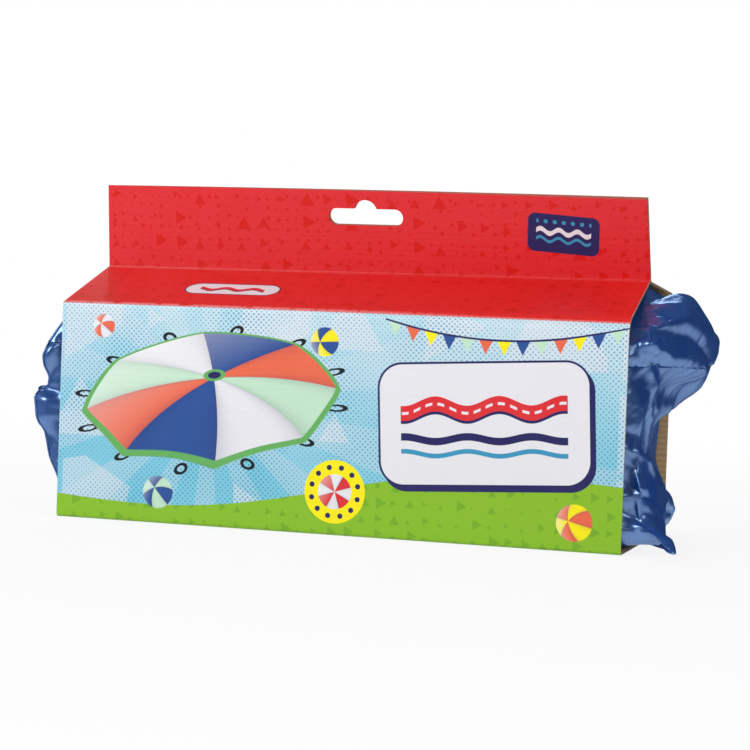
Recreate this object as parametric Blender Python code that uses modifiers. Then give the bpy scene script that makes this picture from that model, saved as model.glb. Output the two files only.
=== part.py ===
"""A play parachute in its shop pack, modelled in Blender.

A printed board sleeve with a gable top and a hanging header holds a stuffed satin storage bag, and the
bag holds the canopy: eight gores folded together, with their edge binding, vent binding and webbing
handles. Metres, +Z up, +X along the sleeve to the closed end of the bag, +Y from the front panel to the
back panel. The origin is the middle of the sleeve's bottom face.
"""

import math

import bmesh
import bpy
import numpy as np
from mathutils import Vector


# Sleeve, measured outside the board
SLEEVE_LENGTH = 0.305
SLEEVE_DEPTH = 0.138
FRONT_HEIGHT = 0.115
RIDGE_SETBACK = 0.057
RIDGE_RISE = 0.0215
REAR_FALL = 0.0045
BOARD = 0.0015
CREASE_RADIUS = 0.0022
SLACK_CREASE_RADIUS = 0.011
RIDGE_RADIUS = 0.006
BACK_CREASE_RADIUS = 0.005

# Clearance between pieces that lie on each other
SEAT_GAP = 0.0003

# Header, measured from its fold line, and its hang slot
HEADER_HEIGHT = 0.0433
HEADER_LEAN_LEFT = math.radians(6)
HEADER_LEAN_RIGHT = math.radians(25)
SLOT_LENGTH = 0.042
SLOT_HEIGHT = 0.0091
SLOT_MARGIN = 0.0097
SLOT_HUMP_WIDTH = 0.0126
SLOT_HUMP_RISE = 0.0047

# Storage bag
BAG_SKIN = 0.0006
BAG_SIDE_CLEARANCE = 0.0008
BAG_TOP_CLEARANCE = 0.0045
BAG_TOP_RADIUS = 0.018
BAG_RIDGE_RADIUS = 0.03
BAG_BASE_RADIUS = 0.012
BAG_END_INSET = 0.018
BAG_END_BULGE = 0.0045
UPPER_LOBE_REACH = 0.0285
UPPER_LOBE_RISE = 0.0075
LOWER_LOBE_REACH = 0.0165
WAIST_DRAW = 0.0095
MOUTH_REACH = 0.0035
MOUTH_BELLY = 0.0155
SEAM_ALLOWANCE = 0.003
SEAM_CLEARANCE = 0.0006
SEAM_END_CLEARANCE = 0.0018
SEAM_THICKNESS = 0.001
HEM_WIDTH = 0.014
HEM_FOLD = 0.0006
CORD_HOLE = 0.0034
CORD_HOLE_SETBACK = 0.006

# Places on the bag as shares of the front panel's height, of the sleeve's depth or of an end's size
SEAM_HEIGHT_SHARE = 0.8
UPPER_LOBE_SHARES = (0.87, 0.23, 0.05)
LOWER_LOBE_SHARES = (0.12, 0.17, -0.2)
WAIST_SHARES = (0.45, 0.25, 0.4)
LOBE_WIDTH_SHARE = 0.5
MOUTH_BELLY_SHARES = (0.55, 0.27)
BAG_MIDDLE_SHARE = 0.5
END_RING_SHARES = (0.998, 0.99, 0.975, 0.95, 0.91, 0.85, 0.77, 0.67, 0.55, 0.42, 0.28, 0.16, 0.06)
END_POWER = 11
CORD_HOLE_SHARE = 0.6

# Folded canopy
GORES = 8
RUNS = 7
HANDLES = 12
BUNDLE_SIDE_CLEARANCE = 0.0035
BUNDLE_END_CLEARANCE = 0.0065
PACK_HEADROOM = 0.005
RUN_GAP = 0.0009
BINDING_WIDTH = 0.009
VENT_TAPE_WIDTH = 0.0065
VENT_TAPE = 0.0014
VENT_LOOP_GAP = 0.0008
VENT_LOOP_SHARE = 0.62
WEBBING = 0.0013
WEBBING_SPACING = 0.0028
HANDLE_REACH = 0.088
HANDLE_BEND_GAP = 0.0008
HANDLE_SETBACK_SHARE = 0.5

# Steps of arcs and lofts
CREASE_STEPS = 6
BAG_CORNER_STEPS = 9
SIDE_STEPS = 6
HEADER_STEPS = 24
WALL_STEPS = 10
FOLD_STEPS = 8
ROUND_STEPS = 12
CUT_OVERRUN = 0.01

# Colours as red, green, blue shares, then roughness
RED_BOARD = (0.76, 0.03, 0.04, 0.45)
SKY_BOARD = (0.42, 0.72, 0.86, 0.45)
BLUE_SATIN = (0.01, 0.06, 0.32, 0.35)
GORE_COLOURS = (
    (0.86, 0.17, 0.08, 0.6),
    (0.03, 0.1, 0.4, 0.6),
    (0.84, 0.85, 0.87, 0.6),
    (0.55, 0.85, 0.62, 0.6),
)
GREEN_TAPE = (0.12, 0.5, 0.2, 0.7)
BLACK_WEBBING = (0.02, 0.02, 0.025, 0.8)

# Worked out from the sizes above
HALF_LENGTH = SLEEVE_LENGTH / 2
HALF_DEPTH = SLEEVE_DEPTH / 2
RIDGE_Y = RIDGE_SETBACK - HALF_DEPTH
RIDGE_HEIGHT = FRONT_HEIGHT + RIDGE_RISE
BACK_HEIGHT = RIDGE_HEIGHT - REAR_FALL
SEAM_HEIGHT = SEAM_HEIGHT_SHARE * FRONT_HEIGHT
BAG_MIDDLE = Vector((0, 0, BAG_MIDDLE_SHARE * FRONT_HEIGHT))
CLOSED_END = HALF_LENGTH - BAG_END_INSET


def make_collection(name):
    """Add an empty collection to the scene."""
    collection = bpy.data.collections.new(name)
    bpy.context.scene.collection.children.link(collection)
    return collection


def make_material(name, finish):
    """A plain Principled material from red, green, blue and roughness."""
    material = bpy.data.materials.new(name)
    material.use_nodes = True
    shader = material.node_tree.nodes["Principled BSDF"]
    shader.inputs["Base Color"].default_value = (*finish[:3], 1)
    shader.inputs["Roughness"].default_value = finish[3]
    shader.inputs["Metallic"].default_value = 0
    return material


def make_empty(name, place):
    """An empty on a joint's axis, which carries the pieces that move about it."""
    empty = bpy.data.objects.new(name, None)
    empty.location = place
    PARTS.objects.link(empty)
    return empty


def carry(piece, empty):
    """Parent a piece that is built in world coordinates to an empty, in place."""
    piece.parent = empty
    piece.location = piece.location - empty.location
    return piece


def arc(centre, radius, start, stop, steps):
    """Points on a circular arc, with both ends."""
    angles = np.linspace(start, stop, steps + 1)
    return [(centre[0] + radius * math.cos(a), centre[1] + radius * math.sin(a)) for a in angles]


def rounded_outline(corners, radii, steps, side_steps=1):
    """A closed outline whose corners are arcs, and whose sides are cut in side_steps."""
    count = len(corners)
    bends = []
    for i in range(count):
        here = Vector(corners[i])
        before = (Vector(corners[i - 1]) - here).normalized()
        after = (Vector(corners[(i + 1) % count]) - here).normalized()
        half_angle = before.angle(after) / 2
        centre = here + (before + after).normalized() * radii[i] / math.sin(half_angle)
        reach = radii[i] / math.tan(half_angle)
        first = here + before * reach - centre
        last = here + after * reach - centre
        start = math.atan2(first.y, first.x)
        sweep = math.remainder(math.atan2(last.y, last.x) - start, math.tau)
        bends.append(arc(centre, radii[i], start, start + sweep, steps))
    points = []
    for i in range(count):
        points += bends[i]
        start = Vector(bends[i][-1])
        stop = Vector(bends[(i + 1) % count][0])
        points += [tuple(start.lerp(stop, k / side_steps)) for k in range(1, side_steps)]
    return np.array(points)


def loft(name, rings, finish, capped=True, collection=None):
    """Join closed rings of equal counts into a skin, and fill both ends if it is capped."""
    count = len(rings[0])
    mesh = bpy.data.meshes.new(name)
    work = bmesh.new()
    rows = [[work.verts.new(point) for point in ring] for ring in rings]
    for near, far in zip(rows, rows[1:]):
        for i in range(count):
            k = (i + 1) % count
            work.faces.new((near[i], near[k], far[k], far[i]))
    if capped:
        work.faces.new(rows[0])
        work.faces.new(rows[-1])
    bmesh.ops.recalc_face_normals(work, faces=work.faces)
    work.to_mesh(mesh)
    work.free()
    return add_piece(name, mesh, finish, collection)


def add_piece(name, data, finish, collection=None):
    """Link a mesh or curve as a named piece with its own material."""
    piece = bpy.data.objects.new(name, data)
    data.materials.append(make_material(name, finish))
    (collection or PARTS).objects.link(piece)
    return piece


def thicken(piece, thickness):
    """Give an open skin its wall, on the inner side."""
    wall = piece.modifiers.new("wall", "SOLIDIFY")
    wall.thickness = thickness
    wall.offset = -1
    wall.use_even_offset = True
    return piece


def cut(piece, cutter):
    """Take the cutter's shape out of a piece."""
    hole = piece.modifiers.new(cutter.name, "BOOLEAN")
    hole.operation = "DIFFERENCE"
    hole.solver = "EXACT"
    hole.object = cutter
    return piece


def hide_cutter(cutter):
    """Mark a shape as a cutter, which isn't part of the model."""
    cutter.hide_render = True
    cutter.display_type = "WIRE"
    return cutter


def flat_shape(name, outlines, thickness, finish, collection=None):
    """A flat outline, with holes if more outlines are given, drawn out to its thickness both ways."""
    curve = bpy.data.curves.new(name, "CURVE")
    curve.dimensions = "2D"
    curve.fill_mode = "BOTH"
    curve.extrude = thickness / 2
    for outline in outlines:
        spline = curve.splines.new("POLY")
        spline.points.add(len(outline) - 1)
        for point, (across, up) in zip(spline.points, outline):
            point.co = (across, up, 0, 1)
        spline.use_cyclic_u = True
    return add_piece(name, curve, finish, collection)


def curve_to_mesh(shape):
    """Change a flat shape into a mesh with its caps welded, so that it can cut."""
    name = shape.name
    bpy.context.view_layer.update()
    evaluated = shape.evaluated_get(bpy.context.evaluated_depsgraph_get())
    mesh = bpy.data.meshes.new_from_object(evaluated)
    place = shape.matrix_world.copy()
    collection = shape.users_collection[0]
    bpy.data.objects.remove(shape)
    work = bmesh.new()
    work.from_mesh(mesh)
    bmesh.ops.remove_doubles(work, verts=work.verts, dist=SEAT_GAP / 100)
    work.to_mesh(mesh)
    work.free()
    piece = bpy.data.objects.new(name, mesh)
    piece.matrix_world = place
    collection.objects.link(piece)
    return piece


def face_along_x(piece, middle):
    """Turn a flat shape so that its outline lies in Y and Z, with its thickness along X."""
    piece.rotation_euler = (math.pi / 2, 0, math.pi / 2)
    piece.location = (middle, 0, 0)
    return piece


def block(name, low, high):
    """A box between two corners, used as a cutter."""
    bpy.ops.mesh.primitive_cube_add(size=1)
    cutter = bpy.context.object
    cutter.name = name
    cutter.location = (Vector(low) + Vector(high)) / 2
    cutter.scale = Vector(high) - Vector(low)
    for collection in list(cutter.users_collection):
        collection.objects.unlink(cutter)
    CUTTERS.objects.link(cutter)
    return hide_cutter(cutter)


# Sleeve

def sleeve_outline(front_crease):
    """The board's outer face in Y and Z, from the front bottom crease up and over the ridge."""
    corners = [
        (-HALF_DEPTH, 0),
        (-HALF_DEPTH, FRONT_HEIGHT),
        (RIDGE_Y, RIDGE_HEIGHT),
        (HALF_DEPTH, BACK_HEIGHT),
        (HALF_DEPTH, 0),
    ]
    radii = [CREASE_RADIUS, front_crease, RIDGE_RADIUS, BACK_CREASE_RADIUS, CREASE_RADIUS]
    return rounded_outline(corners, radii, CREASE_STEPS)


def make_sleeve():
    """One board tube. Its top front crease is crisp at the left end and slack at the right end."""
    rings = []
    for share in np.linspace(0, 1, SIDE_STEPS + 1):
        x = (2 * share - 1) * HALF_LENGTH
        crease = CREASE_RADIUS + (SLACK_CREASE_RADIUS - CREASE_RADIUS) * share ** 2
        rings.append([(x, y, z) for y, z in sleeve_outline(crease)])
    return thicken(loft("sleeve_wrap", rings, SKY_BOARD, capped=False), BOARD)


def header_fold():
    """The header's fold line: over the highest point of the ridge, by the plies' own thickness."""
    outline = sleeve_outline(CREASE_RADIUS)
    peak = outline[outline[:, 1].argmax()]
    return Vector((0, peak[0], peak[1] + SEAT_GAP + header_radius()))


def header_radius():
    """Half of the header's thickness, which is also the radius of its rounded base."""
    return BOARD + SEAT_GAP / 2


def ply_section(side):
    """A ply's section as thickness and height: straight above, a quarter round at the fold."""
    inner = SEAT_GAP / 2
    radius = header_radius()
    base = arc((0, 0), radius, math.pi, math.pi + math.acos(inner / radius), CREASE_STEPS)
    section = [(-inner, HEADER_HEIGHT), (-radius, HEADER_HEIGHT)] + base
    return [(side * thickness, height) for thickness, height in section]


def make_ply(name, side, finish, fold, slot):
    """A header ply, warped along its length: it leans forward more at the right end."""
    rings = []
    for share in np.linspace(0, 1, HEADER_STEPS + 1):
        x = (2 * share - 1) * HALF_LENGTH
        lean = HEADER_LEAN_LEFT + (HEADER_LEAN_RIGHT - HEADER_LEAN_LEFT) * share
        along = (math.cos(lean), math.sin(lean))
        rings.append([(x, t * along[0] - h * along[1], h * along[0] + t * along[1])
                      for t, h in ply_section(side)])
    ply = loft(name, rings, finish)
    ply.parent = fold
    return cut(ply, slot)


def slot_outline():
    """The hang slot: a bar with round ends, and a low hump on the middle of its upper side."""
    end_radius = SLOT_HEIGHT / 2
    end = SLOT_LENGTH / 2 - end_radius
    half_hump = SLOT_HUMP_WIDTH / 2
    hump_radius = (half_hump ** 2 + SLOT_HUMP_RISE ** 2) / (2 * SLOT_HUMP_RISE)
    hump_centre = end_radius + SLOT_HUMP_RISE - hump_radius
    hump_start = math.atan2(end_radius - hump_centre, half_hump)
    right = arc((end, 0), end_radius, -math.pi / 2, math.pi / 2, ROUND_STEPS)
    hump = arc((0, hump_centre), hump_radius, hump_start, math.pi - hump_start, ROUND_STEPS)
    left = arc((-end, 0), end_radius, math.pi / 2, 3 * math.pi / 2, ROUND_STEPS)
    return right + hump + left


def make_header():
    """Two plies on the fold line, both pierced by the hang slot."""
    fold = make_empty("header_fold", header_fold())
    lean = (HEADER_LEAN_LEFT + HEADER_LEAN_RIGHT) / 2
    height = HEADER_HEIGHT - SLOT_MARGIN - SLOT_HEIGHT / 2
    slot = flat_shape("slot_cutter", [slot_outline()], 2 * CUT_OVERRUN, RED_BOARD, CUTTERS)
    slot.location = fold.location + Vector((0, -height * math.sin(lean), height * math.cos(lean)))
    slot.rotation_euler = (math.pi / 2 + lean, 0, 0)
    slot = hide_cutter(curve_to_mesh(slot))
    make_ply("header_front_ply", 1, RED_BOARD, fold, slot)
    make_ply("header_back_ply", -1, RED_BOARD, fold, slot)
    return fold


# Storage bag

def bag_section(inset):
    """The stuffed bag across the sleeve, inset from its outer face, in Y and Z."""
    side = HALF_DEPTH - BOARD - BAG_SIDE_CLEARANCE - inset
    drop = BOARD + BAG_TOP_CLEARANCE + inset
    floor = BOARD + SEAT_GAP + inset
    corners = [
        (-side, floor),
        (-side, FRONT_HEIGHT - drop),
        (RIDGE_Y, RIDGE_HEIGHT - drop),
        (side, BACK_HEIGHT - drop),
        (side, floor),
    ]
    radii = [BAG_BASE_RADIUS, BAG_TOP_RADIUS, BAG_RIDGE_RADIUS, BAG_TOP_RADIUS, BAG_BASE_RADIUS]
    radii = [radius - inset for radius in radii]
    return rounded_outline(corners, radii, BAG_CORNER_STEPS, SIDE_STEPS)


def swell(distance, spread):
    """A smooth hump that is one at no distance and fades over its spread."""
    return math.exp(-(distance / spread) ** 2)


def mouth_edge(z):
    """Where the bag's mouth ends: out past the sleeve, furthest at the belly of its front wall."""
    centre, spread = (share * FRONT_HEIGHT for share in MOUTH_BELLY_SHARES)
    return -HALF_LENGTH - MOUTH_REACH - MOUTH_BELLY * swell(z - centre, spread)


def end_reach(y, z):
    """How far the closed end swells along X: an upper and a lower lobe with a waist between."""
    reach = BAG_END_INSET + BAG_END_BULGE
    swellings = (
        (UPPER_LOBE_REACH, UPPER_LOBE_SHARES),
        (LOWER_LOBE_REACH, LOWER_LOBE_SHARES),
        (-WAIST_DRAW, WAIST_SHARES),
    )
    for size, (height_share, spread_share, side_share) in swellings:
        rise = swell(z - height_share * FRONT_HEIGHT, spread_share * FRONT_HEIGHT)
        reach += size * rise * swell(y - side_share * SLEEVE_DEPTH, LOBE_WIDTH_SHARE * SLEEVE_DEPTH)
    return reach


def bag_rings():
    """Rings of the bag's face from its open mouth, along the wall, and in over the closed end."""
    section = bag_section(0)
    rings = []
    for share in np.linspace(0, 1, WALL_STEPS + 1):
        ring = []
        for y, z in section:
            start = mouth_edge(z)
            ring.append((start + (CLOSED_END - start) * share, y, z))
        rings.append(ring)
    for share in END_RING_SHARES:
        ring = []
        swelling = (1 - share ** END_POWER) ** 0.5
        for y, z in section:
            across = share * y
            up = BAG_MIDDLE.z + share * (z - BAG_MIDDLE.z)
            rise = UPPER_LOBE_RISE * swelling * max(0, up / BAG_MIDDLE.z - 1)
            ring.append((CLOSED_END + end_reach(across, up) * swelling, across, up + rise))
        rings.append(ring)
    return rings


def bag_skin(name):
    """The bag's cloth as a skin that is open at the mouth and closed at the other end."""
    piece = loft(name, bag_rings(), BLUE_SATIN, capped=False)
    work = bmesh.new()
    work.from_mesh(piece.data)
    rim = [edge for edge in work.edges if edge.is_boundary and edge.verts[0].co.x > 0]
    bmesh.ops.contextual_create(work, geom=rim)
    bmesh.ops.recalc_face_normals(work, faces=work.faces)
    work.to_mesh(piece.data)
    work.free()
    return thicken(piece, BAG_SKIN)


def make_panels(slide):
    """Upper and lower cloth panels, parted at the seam's height."""
    far = SLEEVE_LENGTH
    low_top = SEAM_HEIGHT - SEAT_GAP / 2
    high_base = SEAM_HEIGHT + SEAT_GAP / 2
    above = block("above_seam_cutter", (-far, -far, low_top), (far, far, far))
    below = block("below_seam_cutter", (-far, -far, -far), (far, far, high_base))
    hole = make_cord_hole()
    carry(cut(bag_skin("bag_upper_panel"), below), slide)
    carry(cut(cut(bag_skin("bag_lower_panel"), above), hole), slide)
    return hole


def make_cord_hole():
    """The cutter for the small hole where the drawstring's channel opens, in the mouth's front wall."""
    height = CORD_HOLE_SHARE * FRONT_HEIGHT
    bpy.ops.mesh.primitive_cylinder_add(
        vertices=ROUND_STEPS,
        radius=CORD_HOLE / 2,
        depth=2 * CUT_OVERRUN,
        location=(mouth_edge(height) + CORD_HOLE_SETBACK, -HALF_DEPTH, height),
        rotation=(math.pi / 2, 0, 0),
    )
    hole = bpy.context.object
    hole.name = "cord_hole_cutter"
    for collection in list(hole.users_collection):
        collection.objects.unlink(hole)
    CUTTERS.objects.link(hole)
    return hide_cutter(hole)


def make_hem(slide, hole):
    """The mouth's hem: a folded band inside the bag's edge, all the way round."""
    section = bag_section(BAG_SKIN + SEAT_GAP)
    rings = []
    for share in np.linspace(0, 1, 3):
        rings.append([(mouth_edge(z) + share * HEM_WIDTH, y, z) for y, z in section])
    hem = thicken(loft("bag_mouth_hem", rings, BLUE_SATIN, capped=False), HEM_FOLD)
    return carry(cut(hem, hole), slide)


def seam_path():
    """The bag's face at the seam's height in X and Y: along the front wall, round the end, and back."""
    start = mouth_edge(SEAM_HEIGHT) + HEM_WIDTH + SEAT_GAP
    front = []
    back = []
    for ring in bag_rings():
        for near, far in zip(ring, ring[1:] + ring[:1]):
            if (near[2] - SEAM_HEIGHT) * (far[2] - SEAM_HEIGHT) < 0:
                share = (SEAM_HEIGHT - near[2]) / (far[2] - near[2])
                x, y, z = Vector(near).lerp(Vector(far), share)
                if x > start:
                    (front if y < 0 else back).append((x, y))
    path = [(start, front[0][1])]
    for point in front + back[::-1] + [(start, back[0][1])]:
        if math.dist(point, path[-1]) > SEAM_ALLOWANCE:
            path.append(point)
    return np.array(path)


def drawn_in(path, depth):
    """A path moved inwards past the cloth by its clearance and a depth, square to its own direction."""
    steps = np.gradient(path, axis=0)
    steps /= np.linalg.norm(steps, axis=1)[:, None]
    clearance = np.where(path[:, 0] > CLOSED_END, SEAM_END_CLEARANCE, SEAM_CLEARANCE)
    distance = (BAG_SKIN + clearance + depth)[:, None]
    return path + distance * np.column_stack([-steps[:, 1], steps[:, 0]])


def make_seam(slide):
    """The stitched edges of the two panels, a flat strip that stands in from the wall at the seam."""
    wall = seam_path()
    outer = drawn_in(wall, 0)
    inner = drawn_in(wall, SEAM_ALLOWANCE)
    outline = np.concatenate([outer, inner[::-1]])
    strip = flat_shape("bag_seam_allowance", [outline], SEAM_THICKNESS, BLUE_SATIN)
    strip.location = (0, 0, SEAM_HEIGHT)
    return carry(strip, slide)


# Folded canopy

def bundle_sizes():
    """The folded canopy's room in the bag, and the pitch of its runs and layers."""
    floor = BOARD + 3 * SEAT_GAP + BAG_SKIN + HEM_FOLD
    top = FRONT_HEIGHT - BOARD - BAG_TOP_CLEARANCE - BAG_SKIN - PACK_HEADROOM
    pitch = (top - floor + RUN_GAP) / RUNS
    layer_pitch = (pitch - RUN_GAP + SEAT_GAP) / GORES
    side = HALF_DEPTH - BOARD - BAG_SIDE_CLEARANCE - BAG_SKIN - SEAT_GAP - HEM_FOLD
    return floor, top, pitch, layer_pitch, side - BUNDLE_SIDE_CLEARANCE


def fold_line(offset, start, stop):
    """A line that keeps its offset from the middle of the folded stack: runs joined by half rounds."""
    floor, top, pitch, layer_pitch, side = bundle_sizes()
    first = floor + (pitch - RUN_GAP) / 2
    bend = side - (pitch - RUN_GAP / 2) + SEAT_GAP
    points = [(start, first + offset)]
    for run in range(RUNS - 1):
        middle = first + (run + 0.5) * pitch
        if run % 2 == 0:
            turn = arc((bend, middle), pitch / 2 - offset, -math.pi / 2, math.pi / 2, FOLD_STEPS)
        else:
            turn = arc((-bend, middle), pitch / 2 + offset, -math.pi / 2, -3 * math.pi / 2, FOLD_STEPS)
        points += turn
    points.append((stop, first + (RUNS - 1) * pitch + offset))
    return points


def layer_offsets(index):
    """The two faces of one gore, as offsets from the middle of the folded stack."""
    layer_pitch = bundle_sizes()[3]
    low = (index - GORES / 2) * layer_pitch + SEAT_GAP / 2
    return low, low + layer_pitch - SEAT_GAP


def free_ends():
    """Where the gores' inner ends and outer edges lie along Y."""
    floor, top, pitch, layer_pitch, side = bundle_sizes()
    bend = side - (pitch - RUN_GAP / 2) + SEAT_GAP
    return -bend, bend - BINDING_WIDTH - SEAT_GAP


def bundle_span():
    """Where the bundle starts and stops along X."""
    return -HALF_LENGTH + BUNDLE_END_CLEARANCE, CLOSED_END


def make_gores(slide):
    """Eight gores folded as one stack: each is one unbroken sheet through every run and bend."""
    left, right = bundle_span()
    start, stop = free_ends()
    for index in range(GORES):
        low, high = layer_offsets(index)
        outline = fold_line(low, start, stop) + fold_line(high, start, stop)[::-1]
        colour = GORE_COLOURS[index % len(GORE_COLOURS)]
        gore = flat_shape(f"canopy_gore_{index + 1}", [outline], right - left, colour)
        carry(face_along_x(gore, (left + right) / 2), slide)


def make_bindings(slide):
    """A folded tape past the outer edge of each gore, with a round nose where the tape turns."""
    left, right = bundle_span()
    floor, top, pitch, layer_pitch, side = bundle_sizes()
    first = floor + (pitch - RUN_GAP) / 2
    edge = free_ends()[1] + SEAT_GAP
    for index in range(GORES):
        low, high = layer_offsets(index)
        middle = first + (RUNS - 1) * pitch + (low + high) / 2
        radius = (high - low) / 2
        nose = arc((edge + BINDING_WIDTH - radius, middle), radius, -math.pi / 2, math.pi / 2, FOLD_STEPS)
        outline = [(edge, middle - radius)] + nose + [(edge, middle + radius)]
        tape = flat_shape(f"edge_binding_{index + 1}", [outline], right - left, GREEN_TAPE)
        carry(face_along_x(tape, (left + right) / 2), slide)


def racetrack(length, height):
    """A closed outline with two straight sides and two round ends."""
    radius = height / 2
    end = length / 2 - radius
    right = arc((end, 0), radius, -math.pi / 2, math.pi / 2, FOLD_STEPS)
    left = arc((-end, 0), radius, math.pi / 2, 3 * math.pi / 2, FOLD_STEPS)
    return right + left


def make_vent(slide):
    """The tape loop round the canopy's centre hole, pressed flat against the gores' inner ends."""
    left, right = bundle_span()
    floor, top, pitch, layer_pitch, side = bundle_sizes()
    length = VENT_LOOP_SHARE * (right - left)
    outer = racetrack(length, VENT_LOOP_GAP + 2 * VENT_TAPE)
    inner = racetrack(length - 2 * VENT_TAPE, VENT_LOOP_GAP)
    vent = flat_shape("vent_binding", [outer, inner], VENT_TAPE_WIDTH, GREEN_TAPE)
    vent.rotation_euler = (math.pi / 2, 0, 0)
    middle = floor + (pitch - RUN_GAP) / 2
    vent.location = ((left + right) / 2, free_ends()[0] - SEAT_GAP - VENT_TAPE_WIDTH / 2, middle)
    carry(vent, slide)


def make_handles(slide):
    """Twelve webbing loops laid flat on the folded canopy, side by side along X."""
    left, right = bundle_span()
    floor, top, pitch, layer_pitch, side = bundle_sizes()
    spacing = (right - left) / HANDLES
    base = top + SEAT_GAP
    outer = WEBBING + HANDLE_BEND_GAP / 2
    inner = HANDLE_BEND_GAP / 2
    middle = base + outer
    bend = -HANDLE_SETBACK_SHARE * HANDLE_REACH
    end = bend + HANDLE_REACH
    outer_bend = arc((bend, middle), outer, -math.pi / 2, -3 * math.pi / 2, FOLD_STEPS)
    inner_bend = arc((bend, middle), inner, -3 * math.pi / 2, -math.pi / 2, FOLD_STEPS)
    outline = [(end, middle - outer)] + outer_bend + [(end, middle + outer)]
    outline += [(end, middle + inner)] + inner_bend + [(end, middle - inner)]
    for index in range(HANDLES):
        width = spacing - WEBBING_SPACING
        handle = flat_shape(f"handle_{index + 1:02d}", [outline], width, BLACK_WEBBING)
        carry(face_along_x(handle, left + (index + 0.5) * spacing), slide)


for thing in list(bpy.data.objects):
    bpy.data.objects.remove(thing)

PARTS = make_collection("toy_parachute")
CUTTERS = make_collection("cutters")

make_sleeve()
make_header()
bag_slide = make_empty("bag_slide", BAG_MIDDLE)
cord_hole = make_panels(bag_slide)
make_hem(bag_slide, cord_hole)
make_seam(bag_slide)
parachute_slide = make_empty("parachute_slide", BAG_MIDDLE)
make_gores(parachute_slide)
make_bindings(parachute_slide)
make_vent(parachute_slide)
make_handles(parachute_slide)
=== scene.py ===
"""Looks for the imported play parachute: printed board, satin bag, folded canopy, stage, lights and camera.

Metres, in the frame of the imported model: +X to the bag's closed end, +Y from front to back, +Z up.
"""

import contextlib
import math

import bmesh
import bpy
import numpy as np
from mathutils import Matrix, Vector, bvhtree


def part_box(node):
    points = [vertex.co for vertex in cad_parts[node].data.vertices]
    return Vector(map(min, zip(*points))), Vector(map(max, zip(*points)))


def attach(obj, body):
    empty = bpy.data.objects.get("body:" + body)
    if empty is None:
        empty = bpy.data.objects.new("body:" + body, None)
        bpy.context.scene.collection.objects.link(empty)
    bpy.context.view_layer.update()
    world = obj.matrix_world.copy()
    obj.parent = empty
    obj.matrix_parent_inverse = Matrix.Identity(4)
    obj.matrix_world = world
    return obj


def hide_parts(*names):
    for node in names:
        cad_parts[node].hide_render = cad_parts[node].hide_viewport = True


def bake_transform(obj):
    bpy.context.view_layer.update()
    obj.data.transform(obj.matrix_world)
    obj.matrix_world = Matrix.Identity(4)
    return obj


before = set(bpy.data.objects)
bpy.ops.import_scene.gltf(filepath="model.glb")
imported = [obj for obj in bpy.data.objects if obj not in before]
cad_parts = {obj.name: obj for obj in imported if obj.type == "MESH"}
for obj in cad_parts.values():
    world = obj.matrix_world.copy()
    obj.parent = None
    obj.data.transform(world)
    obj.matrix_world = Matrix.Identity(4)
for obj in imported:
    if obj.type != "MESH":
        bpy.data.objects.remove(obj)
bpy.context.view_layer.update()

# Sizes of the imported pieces
SLEEVE_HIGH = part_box("sleeve_wrap")[1]
HALF_LENGTH = SLEEVE_HIGH.x
HALF_DEPTH = SLEEVE_HIGH.y
FRONT_HEIGHT = 0.115
RIDGE_Y = -0.012
RIDGE_HEIGHT = 0.1365
BACK_HEIGHT = 0.132
BOARD = 0.0015
CREASE_RADIUS = 0.0022
SLACK_CREASE_RADIUS = 0.011
BACK_CREASE_RADIUS = 0.005
FOLD_POINT = (-0.0111511, 0.1383884)
HEADER_HEIGHT = 0.0433
HEADER_HALF = 0.00165
HEADER_LEAN_LEFT = math.radians(6)
HEADER_LEAN_RIGHT = math.radians(25)
SLOT_RISE = 0.02905
SLOT_LENGTH = 0.042
SLOT_HEIGHT = 0.0091
SLOT_HUMP_WIDTH = 0.0126
SLOT_HUMP_RISE = 0.0047

# Camera, as the photograph was taken
CAMERA_PLACE = (0.316, -1.013, 0.1089)
CAMERA_YAW = math.radians(17.22)
CAMERA_PITCH = math.radians(1.49)
CAMERA_ROLL = math.radians(2.07)
SENSOR = 36
FOCAL_PIXELS = 1945
IMAGE_PIXELS = 750

# Points closer than this are one point
WELD = 1e-6

# Folds sharper than this stay sharp
SHARP = math.radians(40)


# Materials

def colour(red, green, blue):
    """A colour given in 0 to 255 display values, as the linear values that a shader takes."""
    shares = [value / 255 for value in (red, green, blue)]
    return tuple(s / 12.92 if s <= 0.04045 else ((s + 0.055) / 1.055) ** 2.4 for s in shares) + (1,)


def darker(shade, share):
    """A colour at a share of its brightness."""
    return tuple(value * share for value in shade[:3]) + (1,)


class Wire:
    """A socket in a material's node tree. Arithmetic on wires and numbers adds Math nodes."""

    def __init__(self, tree, socket=None):
        self.tree = tree
        self.socket = socket

    def node(self, kind, settings=None, values=None, output=0):
        """Add a node of a type, make its settings, then fill its sockets with values or wires."""
        made = self.tree.nodes.new("ShaderNode" + kind)
        for name, setting in (settings or {}).items():
            if name == "stops":
                fill_ramp(made.color_ramp, setting)
            else:
                setattr(made, name, setting)
        for name, value in (values or {}).items():
            if isinstance(value, Wire):
                self.tree.links.new(value.socket, made.inputs[name])
            else:
                made.inputs[name].default_value = value
        return Wire(self.tree, made.outputs[output])

    def maths(self, operation, *values):
        """Add a Math node of an operation on values or wires."""
        return self.node("Math", {"operation": operation}, dict(enumerate(values)))

    def __add__(self, other):
        return self.maths("ADD", self, other)

    def __sub__(self, other):
        return self.maths("SUBTRACT", self, other)

    def __rsub__(self, other):
        return self.maths("SUBTRACT", other, self)

    def __mul__(self, other):
        return self.maths("MULTIPLY", self, other)

    def __truediv__(self, other):
        return self.maths("DIVIDE", self, other)

    __radd__ = __add__
    __rmul__ = __mul__


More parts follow.
